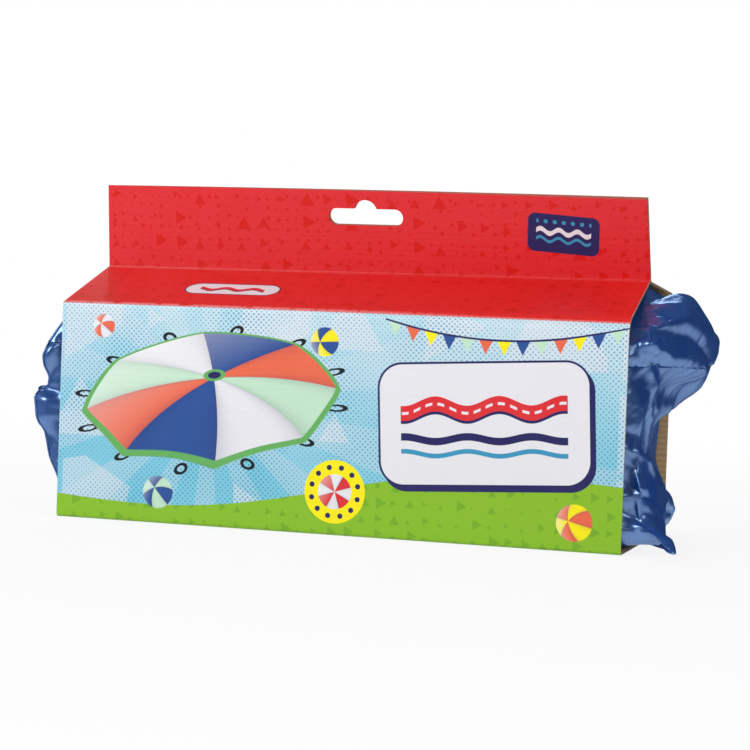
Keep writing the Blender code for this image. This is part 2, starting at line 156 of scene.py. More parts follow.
def fill_ramp(ramp, stops):
    """Give a colour ramp its interpolation and its stops, as pairs of place and colour."""
    ramp.interpolation, pairs = stops
    while len(ramp.elements) < len(pairs):
        ramp.elements.new(1)
    for element, (place, shade) in zip(ramp.elements, pairs):
        element.position = place
        element.color = shade


def root(value):
    """The square root of a value."""
    return value.maths("SQRT", value)


def size(value):
    """A value without its sign."""
    return value.maths("ABSOLUTE", value)


def lesser(a, b):
    """The lesser of two values."""
    return a.maths("MINIMUM", a, b)


def greater(a, b):
    """The greater of two values."""
    return a.maths("MAXIMUM", a, b)


def part_of(value):
    """What is left of a value above its whole number."""
    return value.maths("FRACT", value)


def sine(value):
    """The sine of an angle."""
    return value.maths("SINE", value)


def below(value, limit, soft):
    """A mask that is 1 where the value is under its limit, with a soft edge."""
    return value.node("MapRange", {"interpolation_type": "SMOOTHSTEP"},
                      {0: value, 1: limit - soft, 2: limit + soft, 3: 1.0, 4: 0.0})


def mix(base, paint, mask):
    """One colour over another through a mask."""
    wire = next(value for value in (mask, base, paint) if isinstance(value, Wire))
    return wire.node("Mix", {"data_type": "RGBA"}, {0: mask, 6: base, 7: paint}, 2)


def noise(wire, place, scale, detail=2.0, roughness=0.5, distortion=0.0):
    """A noise value from 0 to 1 at a place."""
    return wire.node("TexNoise", None, {"Vector": place, "Scale": scale, "Detail": detail,
                                        "Roughness": roughness, "Distortion": distortion})


def drifting(place, scale, detail, low, high):
    """A value that drifts between two limits with a noise."""
    drift = noise(place, place, scale, detail)
    return place.node("MapRange", None, {0: drift, 1: 0.3, 2: 0.7, 3: low, 4: high})


def object_place(wire):
    """The place of a point in metres."""
    return wire.node("TexCoord", None, None, "Object")


def surface_place(wire):
    """The place of a point on its piece laid flat, in metres."""
    return wire.node("TexCoord", None, None, "UV")


def axis(place, index):
    """One coordinate of a place."""
    return place.node("SeparateXYZ", None, {0: place}, index)


def point(wire, x, y, z=0.0):
    """A place from its coordinates."""
    return wire.node("CombineXYZ", None, {0: x, 1: y, 2: z})


def bump(height, distance, strength=1.0):
    """A normal from a height in shares of its distance."""
    return height.node("Bump", None, {"Height": height, "Distance": distance, "Strength": strength})


def make_material(name, paint, constants):
    """A Principled material. paint(wire) gives its changing sockets, if any, and constants its even ones."""
    material = bpy.data.materials.new(name)
    material.use_nodes = True
    tree = material.node_tree
    shader = tree.nodes["Principled BSDF"]
    for socket, value in constants.items():
        shader.inputs[socket].default_value = value
    if paint:
        for socket, wire in paint(Wire(tree)).items():
            tree.links.new(wire.socket, shader.inputs[socket])
    return material


# Surfaces

def unit(vectors):
    """Vectors of length 1 in the same directions."""
    return vectors / np.linalg.norm(vectors, axis=-1, keepdims=True)


def steps_along(path):
    """How far along a path each of its points lies."""
    return np.concatenate([[0], np.cumsum(np.linalg.norm(np.diff(path, axis=0), axis=1))])


def rise_from(value, start, stop):
    """A smooth step from 0 at its start to 1 at its stop."""
    share = np.clip((value - start) / (stop - start), 0, 1)
    return share * share * (3 - 2 * share)


def swell(distance, spread):
    """A smooth hump that is 1 at no distance and fades over its spread."""
    return np.exp(-(distance / spread) ** 2)


def grid_faces(rows, columns, first=0):
    """The four-cornered faces of a grid of points, whose numbers run along its rows."""
    corner = first + np.arange(rows - 1)[:, None] * columns + np.arange(columns - 1)[None, :]
    corner = corner.ravel()
    return np.column_stack([corner, corner + 1, corner + columns + 1, corner + columns])


def joined(patches):
    """Grids as one mesh's points, faces and flat coordinates, with matching border points joined."""
    points = np.concatenate([patch[0].reshape(-1, 3) for patch in patches])
    flats = np.concatenate([patch[1].reshape(-1, 2) for patch in patches])
    faces, numbers, first = [], [], 0
    for grid, flat, number in patches:
        made = grid_faces(*grid.shape[:2], first)
        faces.append(made)
        numbers.append(np.full(len(made), number))
        first += grid.shape[0] * grid.shape[1]
    kept, index = np.unique(np.round(points / WELD), axis=0, return_index=True, return_inverse=True)[1:]
    return points[kept], index.reshape(-1), np.concatenate(faces), flats, np.concatenate(numbers)


@contextlib.contextmanager
def reworked(mesh):
    """A mesh opened for work on its faces, and written back afterwards."""
    work = bmesh.new()
    work.from_mesh(mesh)
    yield work
    work.to_mesh(mesh)
    work.free()


def face_outwards(work):
    """Point a closed mesh's faces outwards."""
    bmesh.ops.recalc_face_normals(work, faces=work.faces)


def add_object(name, data):
    """A new object in the scene."""
    made = bpy.data.objects.new(name, data)
    bpy.context.scene.collection.objects.link(made)
    return made


def make_piece(name, patches, materials, sharp=SHARP):
    """A mesh from grids of points. A patch is its points, its flat coordinates and its material's number."""
    points, index, faces, flats, numbers = joined(patches)
    mesh = bpy.data.meshes.new(name)
    mesh.from_pydata(points, [], index[faces])
    layer = mesh.uv_layers.new(name="flat")
    layer.uv.foreach_set("vector", flats[faces.ravel()].ravel())
    mesh.polygons.foreach_set("material_index", numbers)
    for material in materials:
        mesh.materials.append(material)
    with reworked(mesh) as work:
        face_outwards(work)
    mesh.shade_smooth()
    mesh.set_sharp_from_angle(angle=sharp)
    return add_object(name, mesh)


# Printed board

BOARD_X = np.linspace(-HALF_LENGTH, HALF_LENGTH, 62)
CREASE_BAND = 0.003
VALLEY_RADIUS = 0.0008
VALLEYS = (1, 6)
RUN_POINTS = 20
ARC_POINTS = 7
SLOT_ARC_POINTS = 25
SLOT_REACH = 0.01


def straight(start, stop):
    """A straight run between two places, each of them its points and its heights on the flat blank."""
    share = np.linspace(0, 1, RUN_POINTS)[:, None]
    return start[0] + (stop[0] - start[0]) * share[:, :, None], start[1] + (stop[1] - start[1]) * share


def bend(before, corner, after, radius, count):
    """A round corner: the arc of a radius that touches both sides of the corner, and its reach from there."""
    a = unit(before - corner)
    b = unit(after - corner)
    half = np.arccos(np.clip((a * b).sum(1), -1, 1)) / 2
    centre = corner + unit(a + b) * (radius / np.sin(half))[:, None]
    reach = (radius / np.tan(half))[:, None]
    first = corner + a * reach - centre
    side = np.sign(a[:, 0] * b[:, 1] - a[:, 1] * b[:, 0])[:, None]
    across = side * np.column_stack([first[:, 1], -first[:, 0]])
    turn = np.linspace(0, 1, count)[:, None, None] * (math.pi - 2 * half)[None, :, None]
    return centre + first * np.cos(turn) + across * np.sin(turn), reach[:, 0]


def header_corner(lean, thickness, height):
    """A point of the header from its fold, by its thickness to the front and its height."""
    return np.column_stack([
        FOLD_POINT[0] - thickness * np.cos(lean) - height * np.sin(lean),
        FOLD_POINT[1] - thickness * np.sin(lean) + height * np.cos(lean),
    ])


def crossing(foot, top, start, stop):
    """Where the line through a header face meets the line of a slope."""
    rise = top - foot
    run = stop - start
    gap = start - foot
    share = (gap[:, 0] * run[:, 1] - gap[:, 1] * run[:, 0]) / (rise[:, 0] * run[:, 1] - rise[:, 1] * run[:, 0])
    return foot + rise * share[:, None]


def board_corners():
    """The eight corners of the unbroken blank in Y and Z, from the header's front top to its back top."""
    share = (BOARD_X + HALF_LENGTH) / (2 * HALF_LENGTH)
    lean = HEADER_LEAN_LEFT + (HEADER_LEAN_RIGHT - HEADER_LEAN_LEFT) * share
    ones = np.ones((len(BOARD_X), 1))
    front = ones * [-HALF_DEPTH, FRONT_HEIGHT]
    back = ones * [HALF_DEPTH, BACK_HEIGHT]
    ridge = ones * [RIDGE_Y, RIDGE_HEIGHT]
    front_top = header_corner(lean, HEADER_HALF, HEADER_HEIGHT)
    back_top = header_corner(lean, -HEADER_HALF, HEADER_HEIGHT)
    front_valley = crossing(header_corner(lean, HEADER_HALF, 0), front_top, front, ridge)
    back_valley = crossing(header_corner(lean, -HEADER_HALF, 0), back_top, ridge, back)
    return [front_top, front_valley, front, ones * [-HALF_DEPTH, 0],
            ones * [HALF_DEPTH, 0], back, back_valley, back_top], share


def board_path():
    """The blank's outer face as stretches of points, each with its heights on the flat blank."""
    corners, share = board_corners()
    slack = CREASE_RADIUS + (SLACK_CREASE_RADIUS - CREASE_RADIUS) * share ** 2
    radii = (0, VALLEY_RADIUS, slack, CREASE_RADIUS, CREASE_RADIUS, BACK_CREASE_RADIUS, VALLEY_RADIUS)
    sides = [np.linalg.norm(b - a, axis=1) for a, b in zip(corners, corners[1:])]
    flat = [sides[0] + sides[1] + sides[2]]
    for side in sides:
        flat.append(flat[-1] - side)

    def along(i, far):
        """A point on the side after corner i, and its height on the flat blank."""
        step = (far / sides[i])[:, None]
        return corners[i] + (corners[i + 1] - corners[i]) * step, flat[i] - far

    stretches = []
    place = (corners[0], flat[0])
    for i in range(1, len(radii)):
        points, reach = bend(corners[i - 1], corners[i], corners[i + 1], radii[i], ARC_POINTS)
        heights = flat[i] + reach * np.linspace(1, -1, ARC_POINTS)[:, None]
        entry = along(i - 1, sides[i - 1] - reach - (CREASE_BAND if i in VALLEYS else 0))
        stretches.append(straight(place, entry))
        if i in VALLEYS:
            place = along(i, reach + CREASE_BAND)
            points = np.concatenate([entry[0][None], points, place[0][None]])
            heights = np.concatenate([entry[1][None], heights, place[1][None]])
        else:
            place = (points[-1], heights[-1])
        stretches.append((points, heights))
    stretches.append(straight(place, (corners[-1], flat[-1])))
    return stretches


def join_stretches(stretches):
    """One path from stretches that share their ends."""
    points = [stretches[0][0]] + [points[1:] for points, flat in stretches[1:]]
    flats = [stretches[0][1]] + [flat[1:] for points, flat in stretches[1:]]
    return np.concatenate(points), np.concatenate(flats)


def board_piece(name, stretches, materials):
    """Board of one thickness behind its outer face: outer face, inner face and cut edges."""
    path, flat = join_stretches(stretches)
    tangent = unit(np.gradient(path, axis=0))
    inward = np.stack([-tangent[:, :, 1], tangent[:, :, 0]], axis=2)
    x = np.broadcast_to(BOARD_X, flat.shape)
    outer = np.dstack([x, path])
    inner = np.dstack([x, path + BOARD * inward])
    printed = np.dstack([x, flat])
    patches = [(outer, printed, 0), (inner, printed, 1)]
    edges = [(outer[:, end], inner[:, end], flat[:, end]) for end in (0, -1)]
    edges += [(outer[end], inner[end], np.zeros(len(BOARD_X))) for end in (0, -1)]
    for front, back, along in edges:
        depth = np.broadcast_to([0, BOARD], (len(along), 2))
        patches.append((np.stack([front, back], axis=1), np.dstack([depth, np.column_stack([along] * 2)]), 2))
    return make_piece(name, patches, materials)


def slot_outline():
    """The hang slot's closed outline: a bar with round ends, and a low hump on the middle of its upper side."""
    radius = SLOT_HEIGHT / 2
    end = SLOT_LENGTH / 2 - radius
    half_hump = SLOT_HUMP_WIDTH / 2
    hump = (half_hump ** 2 + SLOT_HUMP_RISE ** 2) / (2 * SLOT_HUMP_RISE)
    middle = radius + SLOT_HUMP_RISE - hump
    start = math.atan2(radius - middle, half_hump)
    arcs = [(end, 0, radius, -math.pi / 2, math.pi / 2), (0, middle, hump, start, math.pi - start),
            (-end, 0, radius, math.pi / 2, 3 * math.pi / 2)]
    points = []
    for x, z, reach, first, last in arcs:
        angles = np.linspace(first, last, SLOT_ARC_POINTS)
        points.append(np.column_stack([x + reach * np.cos(angles), z + reach * np.sin(angles)]))
    return np.concatenate(points + [points[0][:1]])


def cut_slot(pieces):
    """Pierce both header boards with one slot, square to the header's middle. The flat coordinate of its
    wall is how deep it lies under the nearer outer face of the two boards."""
    lean = (HEADER_LEAN_LEFT + HEADER_LEAN_RIGHT) / 2
    through = np.array([0, -math.cos(lean), -math.sin(lean)])
    upright = np.array([0, -math.sin(lean), math.cos(lean)])
    foot = np.array([0, *FOLD_POINT]) + upright * SLOT_RISE
    outline = slot_outline()
    ring = foot + outline[:, :1] * np.array([1, 0, 0]) + outline[:, 1:] * upright
    depths = np.array([-SLOT_REACH, 0, SLOT_REACH])[:, None]
    flat = np.zeros((len(depths), len(ring), 2))
    flat[:, :, 0] = HEADER_HALF - abs(depths)
    cutter = make_piece("slot_cutter", [(ring + through * depths[:, :, None], flat, 2)], [])
    with reworked(cutter.data) as work:
        bmesh.ops.holes_fill(work, edges=[edge for edge in work.edges if edge.is_boundary])
        face_outwards(work)
    for piece in pieces:
        hole = piece.modifiers.new("slot", "BOOLEAN")
        hole.operation = "DIFFERENCE"
        hole.solver = "EXACT"
        hole.object = cutter
        cut = bpy.data.meshes.new_from_object(piece.evaluated_get(bpy.context.evaluated_depsgraph_get()))
        piece.modifiers.clear()
        piece.data = cut
        cut.set_sharp_from_angle(angle=SHARP)
    bpy.data.objects.remove(cutter)


# Printed design. Places on the flat blank are u along the sleeve and v up its face, in metres.

INK_SOFT = 0.00012
RED = colour(227, 47, 53)
RED_SLOPE = colour(229, 37, 36)
RED_TONE = colour(219, 27, 22)
# Pale pink: the scuffs along the creases, and also a painted highlight on the slope's left
SCUFF_AND_GLARE_PINK = colour(244, 168, 170)
SKY_PALE = colour(192, 224, 236)
SKY_DEEP = colour(128, 202, 224)
SKY_DOT = colour(58, 152, 194)
GRASS = colour(140, 192, 42)
GRASS_TONE = colour(120, 176, 38)
NAVY = colour(42, 40, 100)
CLOUD = colour(233, 232, 238)
YELLOW = colour(255, 238, 10)
CORAL = colour(238, 108, 76)
CANOPY_BLUE = colour(44, 84, 156)
MINT = colour(196, 230, 203)
BINDING_GREEN = colour(104, 178, 96)
WEB_BLACK = colour(30, 30, 34)
KRAFT_PALE = colour(230, 192, 142)
KRAFT_DEEP = colour(212, 172, 118)
KRAFT_SPECK = colour(128, 98, 66)
# Darker kraft: painted shade in the hollows between the flutes
KRAFT_FLUTE_SHADOW = colour(160, 130, 92)
CUT_PAPER = colour(176, 146, 106)
# Dark brown: painted shadow in the hollows of a cut edge's flutes
CUT_PAINTED_SHADOW = colour(96, 70, 46)
CUT_LINER = colour(226, 216, 208)
CUT_RED = colour(178, 62, 60)

FLUTE_PITCH = 0.0032
FLUTE_LINE = 0.00018
LINER_DEPTHS = (0.0004, 0.0003)
HEADER_FOLD = FRONT_HEIGHT + 0.0595
BACK_TOP = -2 * HALF_DEPTH - BACK_HEIGHT
SLANT = 0.866

# Patterns: the halftone's dots and how their size drifts, then triangles by cell and size
HALFTONE_PITCH = 0.0028
HALFTONE_DOT = (0.12, 0.34)
HALFTONE_DRIFT = (22, 0.3, 2.2)
HALFTONE_SOFT = 0.07
TRIANGLE_SCATTER = 0.35
TRIANGLE_GROWTH = (0.25, 1.3)
TRIANGLES_UP = 0.45
RED_TRIANGLES = ((0.0125, 0.0016), (0.0058, 0.0006))
GRASS_TRIANGLES = (0.0085, 0.0012)
SKY_TRIANGLES = (0.05, 0.011)

# Sky and grass: where the sky deepens, the rays as count, half width and strength, and the hill's line
SKY_DRIFT = (9, 0.12)
SKY_CHANGE = (0.07, 0.05)
RAYS = (14, 0.25, 0.22)
SKY_TRIANGLE_TONE = 0.45
HALFTONE_TONE = 0.8
HILL = (0.023, 0.07, 21, 0.007)

CANOPY_CENTRE = (-0.067, 0.066)
CANOPY_HALF = (0.073, 0.036)
CANOPY_TILT = math.radians(7)
CANOPY_VENT = (0.06, 0.36)
CANOPY_GORES = 8
CANOPY_DIP = 0.05
CANOPY_BINDING = 0.02
CANOPY_VENT_RINGS = (0.085, 0.05)
CANOPY_HANDLES = 12
HANDLE_LOOP = (0.99, 0.05, 0.085, 0.8, 0.24)
GORE_SHADE = 0.25
GORE_LIGHT = (0.22, 0.3)

LABEL_CENTRE = (0.081, 0.061)
LABEL_HALF = (0.055, 0.0315)
LABEL_CORNER = 0.013
LABEL_TILT = math.radians(3)
LABEL_LINE = 0.0011
LABEL_SHADOW = (0.002, -0.0024)
BADGE_CENTRE = (0.108, 0.2)
BADGE_HALF = (0.019, 0.0105)
BADGE_CORNER = 0.004
BADGE_TILT = math.radians(-4)
BADGE_DOTS = (0.0048, 0.0063, 0.0011)
PLAQUE_CENTRE = (-0.066, 0.143)
PLAQUE_HALF = (0.027, 0.0085)
PLAQUE_ROUNDNESS = 0.98
PLAQUE_LINE = 0.0008

# Wavy stripes as shade, middle, half height, waves for each metre times tau, and height of the waves
LABEL_REACH = 0.043
LABEL_STRIPES = ((NAVY, 0.0068, 0.0042, 190, -0.0024), (RED, 0.0079, 0.0038, 190, -0.0024),
                 (NAVY, -0.0075, 0.0019, 190, 0.0012), (SKY_DOT, -0.0148, 0.0012, 190, 0.0012))
LABEL_DASHED = ((CLOUD, 0.0079, 0.0007, 190, -0.0024),)
LABEL_DASHES = (160, 0.28, 0.04)
BADGE_REACH = 0.0145
BADGE_STRIPES = ((CLOUD, 0.001, 0.0013, 640, 0.0012), (SKY_DOT, -0.0035, 0.0008, 640, 0.0012))
PLAQUE_REACH = 0.0185
PLAQUE_STRIPES = ((NAVY, -0.0004, 0.0019, 400, 0.0016), (RED, 0.0002, 0.0016, 400, 0.0016))

DISC_CENTRE = (0.004, 0.0225)
DISC_RADIUS = 0.0163
DISC_DOTS = (0.78, 0.085)
DISC_DOME = 0.55
BALLS = (
    ((-0.128, 0.103), 0.0062, 0.4, (CORAL, CLOUD)),
    ((-0.004, 0.099), 0.0075, 1.1, (YELLOW, CANOPY_BLUE)),
    ((-0.094, 0.0165), 0.0085, 0.2, (CANOPY_BLUE, MINT)),
    ((0.129, 0.0145), 0.0092, 0.8, (CORAL, YELLOW)),
)
BALL_TOP = (-0.2, 0.35)
BUNTING_ENDS = (0.028, 0.1525)
BUNTING_TOP = 0.112
BUNTING_SAG = 0.009
BUNTING_PITCH = 0.0095
BUNTING_DROP = 0.0082
BUNTING_SHADES = ((0, CORAL), (0.24, YELLOW), (0.49, CANOPY_BLUE), (0.74, MINT))
BUNTING_STRING = 0.0005


def distance(a, b):
    """The distance of one place from another."""
    return a.node("VectorMath", {"operation": "DISTANCE"}, {0: a, 1: b}, "Value")


def length(value):
    """The length of a vector."""
    return value.node("VectorMath", {"operation": "LENGTH"}, {0: value}, "Value")


def motif(place, centre, half, tilt=0.0):
    """A motif's own coordinates: 0 at its centre, 1 at its half width and half height, turned by its tilt."""
    return place.node("Mapping", {"vector_type": "TEXTURE"},
                      {"Vector": place, "Location": (*centre, 0), "Rotation": (0, 0, tilt),
                       "Scale": (*half, 1)})


def turn_share(place):
    """How far round its centre a place lies, from 0 to 1."""
    return place.maths("ARCTAN2", axis(place, 1), axis(place, 0)) / math.tau + 0.5


def round_places(place, count):
    """How far a place lies from the nearest of evenly spaced turns round its centre, as an angle."""
    return (part_of(turn_share(place) * count) - 0.5) * (math.tau / count)


def triangles(place, cell, inner):
    """A mask of small triangles of mixed sizes in loose rows, one in each cell, which point along u or up."""
    cells = {"voronoi_dimensions": "2D"}
    values = {"Vector": place, "Scale": 1 / cell, "Randomness": TRIANGLE_SCATTER}
    centre = place.node("TexVoronoi", cells, values, "Position")
    chances = place.node("TexVoronoi", cells, values, "Color")
    local = place.node("VectorMath", {"operation": "SUBTRACT"}, {0: place, 1: centre})
    x, y = axis(local, 0), axis(local, 1)
    right = greater(size(y) * SLANT + x * 0.5, x * -1)
    up = greater(size(x) * SLANT + y * 0.5, y * -1)
    edge = right + (up - right) * below(axis(chances, 1), TRIANGLES_UP, 0.001)
    least, growth = TRIANGLE_GROWTH
    return below(edge - (axis(chances, 0) * growth + least) * inner, 0, INK_SOFT)


def halftone(place, u, v):
    """A mask of staggered round dots, whose size drifts slowly over the panel."""
    across = (u + v) / HALFTONE_PITCH
    up = (u - v) / HALFTONE_PITCH
    cell = point(place, part_of(across) - 0.5, part_of(up) - 0.5)
    small, wide = HALFTONE_DOT
    scale, least, stretch = HALFTONE_DRIFT
    drift = noise(place, place, scale, 1.0)
    return below(length(cell), (drift - least) * stretch * (wide - small) + small, HALFTONE_SOFT)


def wheel(place, base, centre, half, tilt, shades, soft, vent=(0.0, 0.0), sectors=6, dip=0.0):
    """Sectors round a vent in alternate shades, painted on the base. The vent slides off the middle as
    on a tilted dome, and the rim dips in between its seams. Gives the painting and the reach past the rim."""
    local = motif(place, centre, half, tilt)
    lift = 1 - lesser(length(local), 1.0) * lesser(length(local), 1.0)
    slid = point(place, axis(local, 0) - lift * vent[0], axis(local, 1) - lift * vent[1])
    turn = turn_share(slid)
    bulge = sine(part_of(turn * sectors) * math.pi)
    count = len(shades)
    pairs = [(i / count, shade) for i, shade in enumerate(shades)]
    pick = part_of(turn * (sectors / count))
    paint = place.node("ValToRGB", {"stops": ("CONSTANT", pairs)}, {0: pick})
    paint = mix(paint, NAVY, (1 - bulge) * (1 - bulge) * GORE_SHADE)
    strength, most = GORE_LIGHT
    light = lesser(greater((axis(slid, 1) - axis(slid, 0)) * strength, 0), most)
    paint = mix(paint, (1, 1, 1, 1), light)
    past = length(slid) - (1 - bulge * dip)
    return mix(base, paint, below(past, 0, soft)), past


def rounded_box(place, centre, half, corner, tilt):
    """Distance from a rounded rectangle's edge, less than zero inside."""
    local = motif(place, centre, (1.0, 1.0), tilt)
    x = greater(size(axis(local, 0)) - (half[0] - corner), 0)
    y = greater(size(axis(local, 1)) - (half[1] - corner), 0)
    return length(point(place, x, y)) - corner


def paint_box(place, base, centre, half, corner, tilt=0.0, line=None):
    """A navy box with round corners. If it has a line, it is white inside that line."""
    edge = rounded_box(place, centre, half, corner, tilt)
    base = mix(base, NAVY, below(edge, 0, INK_SOFT))
    return base if line is None else mix(base, CLOUD, below(edge, -line, INK_SOFT))


def paint_waves(local, base, reach, stripes, mask=1.0):
    """Wavy stripes across a motif, as far as its reach to both sides."""
    x, y = axis(local, 0), axis(local, 1)
    across = below(size(x), reach, INK_SOFT) * mask
    for shade, middle, half, waves, rise in stripes:
        height = y + sine(x * waves) * rise
        base = mix(base, shade, below(size(height - middle), half, INK_SOFT) * across)
    return base


def paint_canopy(place, base):
    """A gored play canopy seen from above its rim: handles, gores, binding and vent."""
    local = motif(place, CANOPY_CENTRE, CANOPY_HALF, CANOPY_TILT)
    out, wide, tall, radius, line = HANDLE_LOOP
    along = round_places(local, CANOPY_HANDLES)
    loop = length(point(place, along / wide, (length(local) - out) / tall))
    base = mix(base, WEB_BLACK, below(size(loop - radius), line, 0.05))
    soft = INK_SOFT / CANOPY_HALF[1]
    shades = (CORAL, CANOPY_BLUE, CLOUD, MINT)
    base, rim = wheel(place, base, CANOPY_CENTRE, CANOPY_HALF, CANOPY_TILT, shades, soft,
                      CANOPY_VENT, CANOPY_GORES, CANOPY_DIP)
    base = mix(base, BINDING_GREEN, below(size(rim + CANOPY_BINDING), CANOPY_BINDING, soft))
    hole = distance(local, (*CANOPY_VENT, 0))
    for shade, ring in zip((BINDING_GREEN, NAVY), CANOPY_VENT_RINGS):
        base = mix(base, shade, below(hole, ring, soft))
    return base


def paint_label(place, base):
    """A blank white label with a navy line and its drop shadow. On it are wavy stripes, the top one dashed."""
    shadow = (LABEL_CENTRE[0] + LABEL_SHADOW[0], LABEL_CENTRE[1] + LABEL_SHADOW[1])
    base = paint_box(place, base, shadow, LABEL_HALF, LABEL_CORNER, LABEL_TILT)
    base = paint_box(place, base, LABEL_CENTRE, LABEL_HALF, LABEL_CORNER, LABEL_TILT, LABEL_LINE)
    local = motif(place, LABEL_CENTRE, (1.0, 1.0), LABEL_TILT)
    base = paint_waves(local, base, LABEL_REACH, LABEL_STRIPES)
    count, half, soft = LABEL_DASHES
    dash = below(size(part_of(axis(local, 0) * count) - 0.5), half, soft)
    return paint_waves(local, base, LABEL_REACH, LABEL_DASHED, dash)


def paint_bunting(place, base, u, v):
    """A string of pennants that hangs in a shallow curve under the front crease."""
    start, stop = BUNTING_ENDS
    share = (u - start) / (stop - start)
    string = BUNTING_TOP - share * (1 - share) * 4 * BUNTING_SAG
    reach = below(size(share - 0.5), 0.5, 0.002)
    drop = string - v
    across = size(part_of(u / BUNTING_PITCH) - 0.5) * BUNTING_PITCH
    edge = greater(across + drop * 0.5 - BUNTING_DROP * 0.45, drop * -1)
    count = u / BUNTING_PITCH
    pick = part_of(count.maths("FLOOR", count) / len(BUNTING_SHADES) + 0.01)
    pennant = place.node("ValToRGB", {"stops": ("CONSTANT", BUNTING_SHADES)}, {0: pick})
    base = mix(base, pennant, below(edge, 0, INK_SOFT) * reach)
    return mix(base, NAVY, below(size(drop), BUNTING_STRING, INK_SOFT) * reach)


def paint_disc(place, base):
    """A yellow disc with twelve dark dots on a ring, and a small gored dome in its middle."""
    local = motif(place, DISC_CENTRE, (DISC_RADIUS, DISC_RADIUS))
    radius = length(local)
    soft = INK_SOFT / DISC_RADIUS
    base = mix(base, YELLOW, below(radius, 1, soft))
    ring, wide = DISC_DOTS
    dot = length(point(place, round_places(local, CANOPY_HANDLES) * ring, radius - ring))
    base = mix(base, NAVY, below(dot, wide, soft))
    dome = DISC_RADIUS * DISC_DOME
    return wheel(place, base, DISC_CENTRE, (dome, dome), 0.3, (RED, CLOUD), soft, sectors=8)[0]


def paint_badge(place, base):
    """A navy badge with white and blue waves, under a row of blue dots."""
    base = paint_box(place, base, BADGE_CENTRE, BADGE_HALF, BADGE_CORNER, BADGE_TILT)
    local = motif(place, BADGE_CENTRE, (1.0, 1.0), BADGE_TILT)
    base = paint_waves(local, base, BADGE_REACH, BADGE_STRIPES)
    x, y = axis(local, 0), axis(local, 1)
    pitch, height, wide = BADGE_DOTS
    dots = length(point(place, (part_of(x / pitch + 0.5) - 0.5) * pitch, y - height))
    return mix(base, SKY_DOT, below(dots, wide, INK_SOFT) * below(size(x), BADGE_REACH, INK_SOFT))


def paint_plaque(place, base):
    """A small white plaque with a navy edge and one red wave."""
    base = paint_box(place, base, PLAQUE_CENTRE, PLAQUE_HALF, PLAQUE_HALF[1] * PLAQUE_ROUNDNESS, line=PLAQUE_LINE)
    return paint_waves(motif(place, PLAQUE_CENTRE, (1.0, 1.0)), base, PLAQUE_REACH, PLAQUE_STRIPES)


def crease_wear(place, u, v):
    """Where the print's edge is scuffed pale: along the two creases at the front, most at their left ends."""
    grit = noise(place, point(place, u * 3, v), 900, 3.0, 0.7)
    left = below(u, -0.06, 0.09) * 0.5 + 0.25
    top = below(size(v - HEADER_FOLD), 0.0006, 0.0005) * left
    front = below(size(v - FRONT_HEIGHT - 0.0006), 0.0006, 0.0004) * 0.75
    return greater(top, front) * below(grit, 0.52, 0.14)


def paint_front(place, u, w):
    """The ground of the front panel: a halftone sky with pale rays and triangles, over a hill of grass."""
    scale, drift = SKY_DRIFT
    pale = noise(place, place, scale, 2.0)
    sky = mix(SKY_PALE, SKY_DEEP, below(w - (pale - 0.5) * drift, *SKY_CHANGE))
    rays = motif(place, CANOPY_CENTRE, (1.0, 1.0))
    count, half, strength = RAYS
    beam = below(size(part_of(turn_share(rays) * count) - 0.5), half, 0.02)
    sky = mix(sky, CLOUD, beam * strength)
    sky = mix(sky, CLOUD, triangles(place, *SKY_TRIANGLES) * SKY_TRIANGLE_TONE)
    sky = mix(sky, SKY_DOT, halftone(place, u, w) * HALFTONE_TONE)
    rise, slope, waves, swing = HILL
    hill = rise + u * slope + sine(u * waves) * swing
    grass = mix(GRASS, GRASS_TONE, triangles(place, *GRASS_TRIANGLES))
    return mix(sky, grass, below(w - hill, 0, INK_SOFT))


def paint_red(place, v):
    """The red of slopes and header, with triangles of nearly the same red, and a painted pale pink highlight on
    the slope just above the left of the front crease."""
    red = mix(RED, RED_SLOPE, below(v, HEADER_FOLD, 0.001))
    # Painted highlight: a pale pink streak on the slope just above the front crease, on its left
    gloss = below(size(v - FRONT_HEIGHT - 0.0016), 0.001, 0.0006) * below(axis(place, 0), 0.02, 0.08)
    red = mix(red, SCUFF_AND_GLARE_PINK, gloss * 0.45)
    wide, fine = RED_TRIANGLES
    return mix(red, RED_TONE, greater(triangles(place, *wide), triangles(place, *fine)))


def printed_board(wire):
    """The whole blank: red header and slopes, and the picture on the front and back panels."""
    place = surface_place(wire)
    u, v = axis(place, 0), axis(place, 1)
    behind = below(v, -2 * HALF_DEPTH, INK_SOFT)
    w = v + behind * (v * -2 - 2 * HALF_DEPTH)
    front = paint_front(point(place, u, w), u, w)
    front = paint_canopy(place, front)
    front = paint_bunting(place, front, u, v)
    front = paint_label(place, front)
    for centre, radius, tilt, shades in BALLS:
        soft = INK_SOFT / radius
        front = wheel(place, front, centre, (radius, radius), tilt, shades, soft, BALL_TOP)[0]
    front = paint_disc(place, front)
    red = paint_badge(place, paint_plaque(place, paint_red(place, v)))
    red = mix(red, SCUFF_AND_GLARE_PINK, crease_wear(place, u, v) * 0.8)
    face = mix(front, red, greater(1 - below(v, FRONT_HEIGHT, INK_SOFT), below(v, BACK_TOP, INK_SOFT)))
    flute = sine(v * (math.tau / FLUTE_PITCH))
    dents = noise(wire, point(wire, u, v * 2.2), 26, 2.0)
    grain = noise(wire, place, 1500, 2.0)
    return {"Base Color": face, "Roughness": drifting(point(wire, u, v), 45, 3.0, 0.3, 0.42),
            "Normal": bump(flute * 0.04 + dents * 0.55 + grain * 0.015, 0.0007, 0.55)}


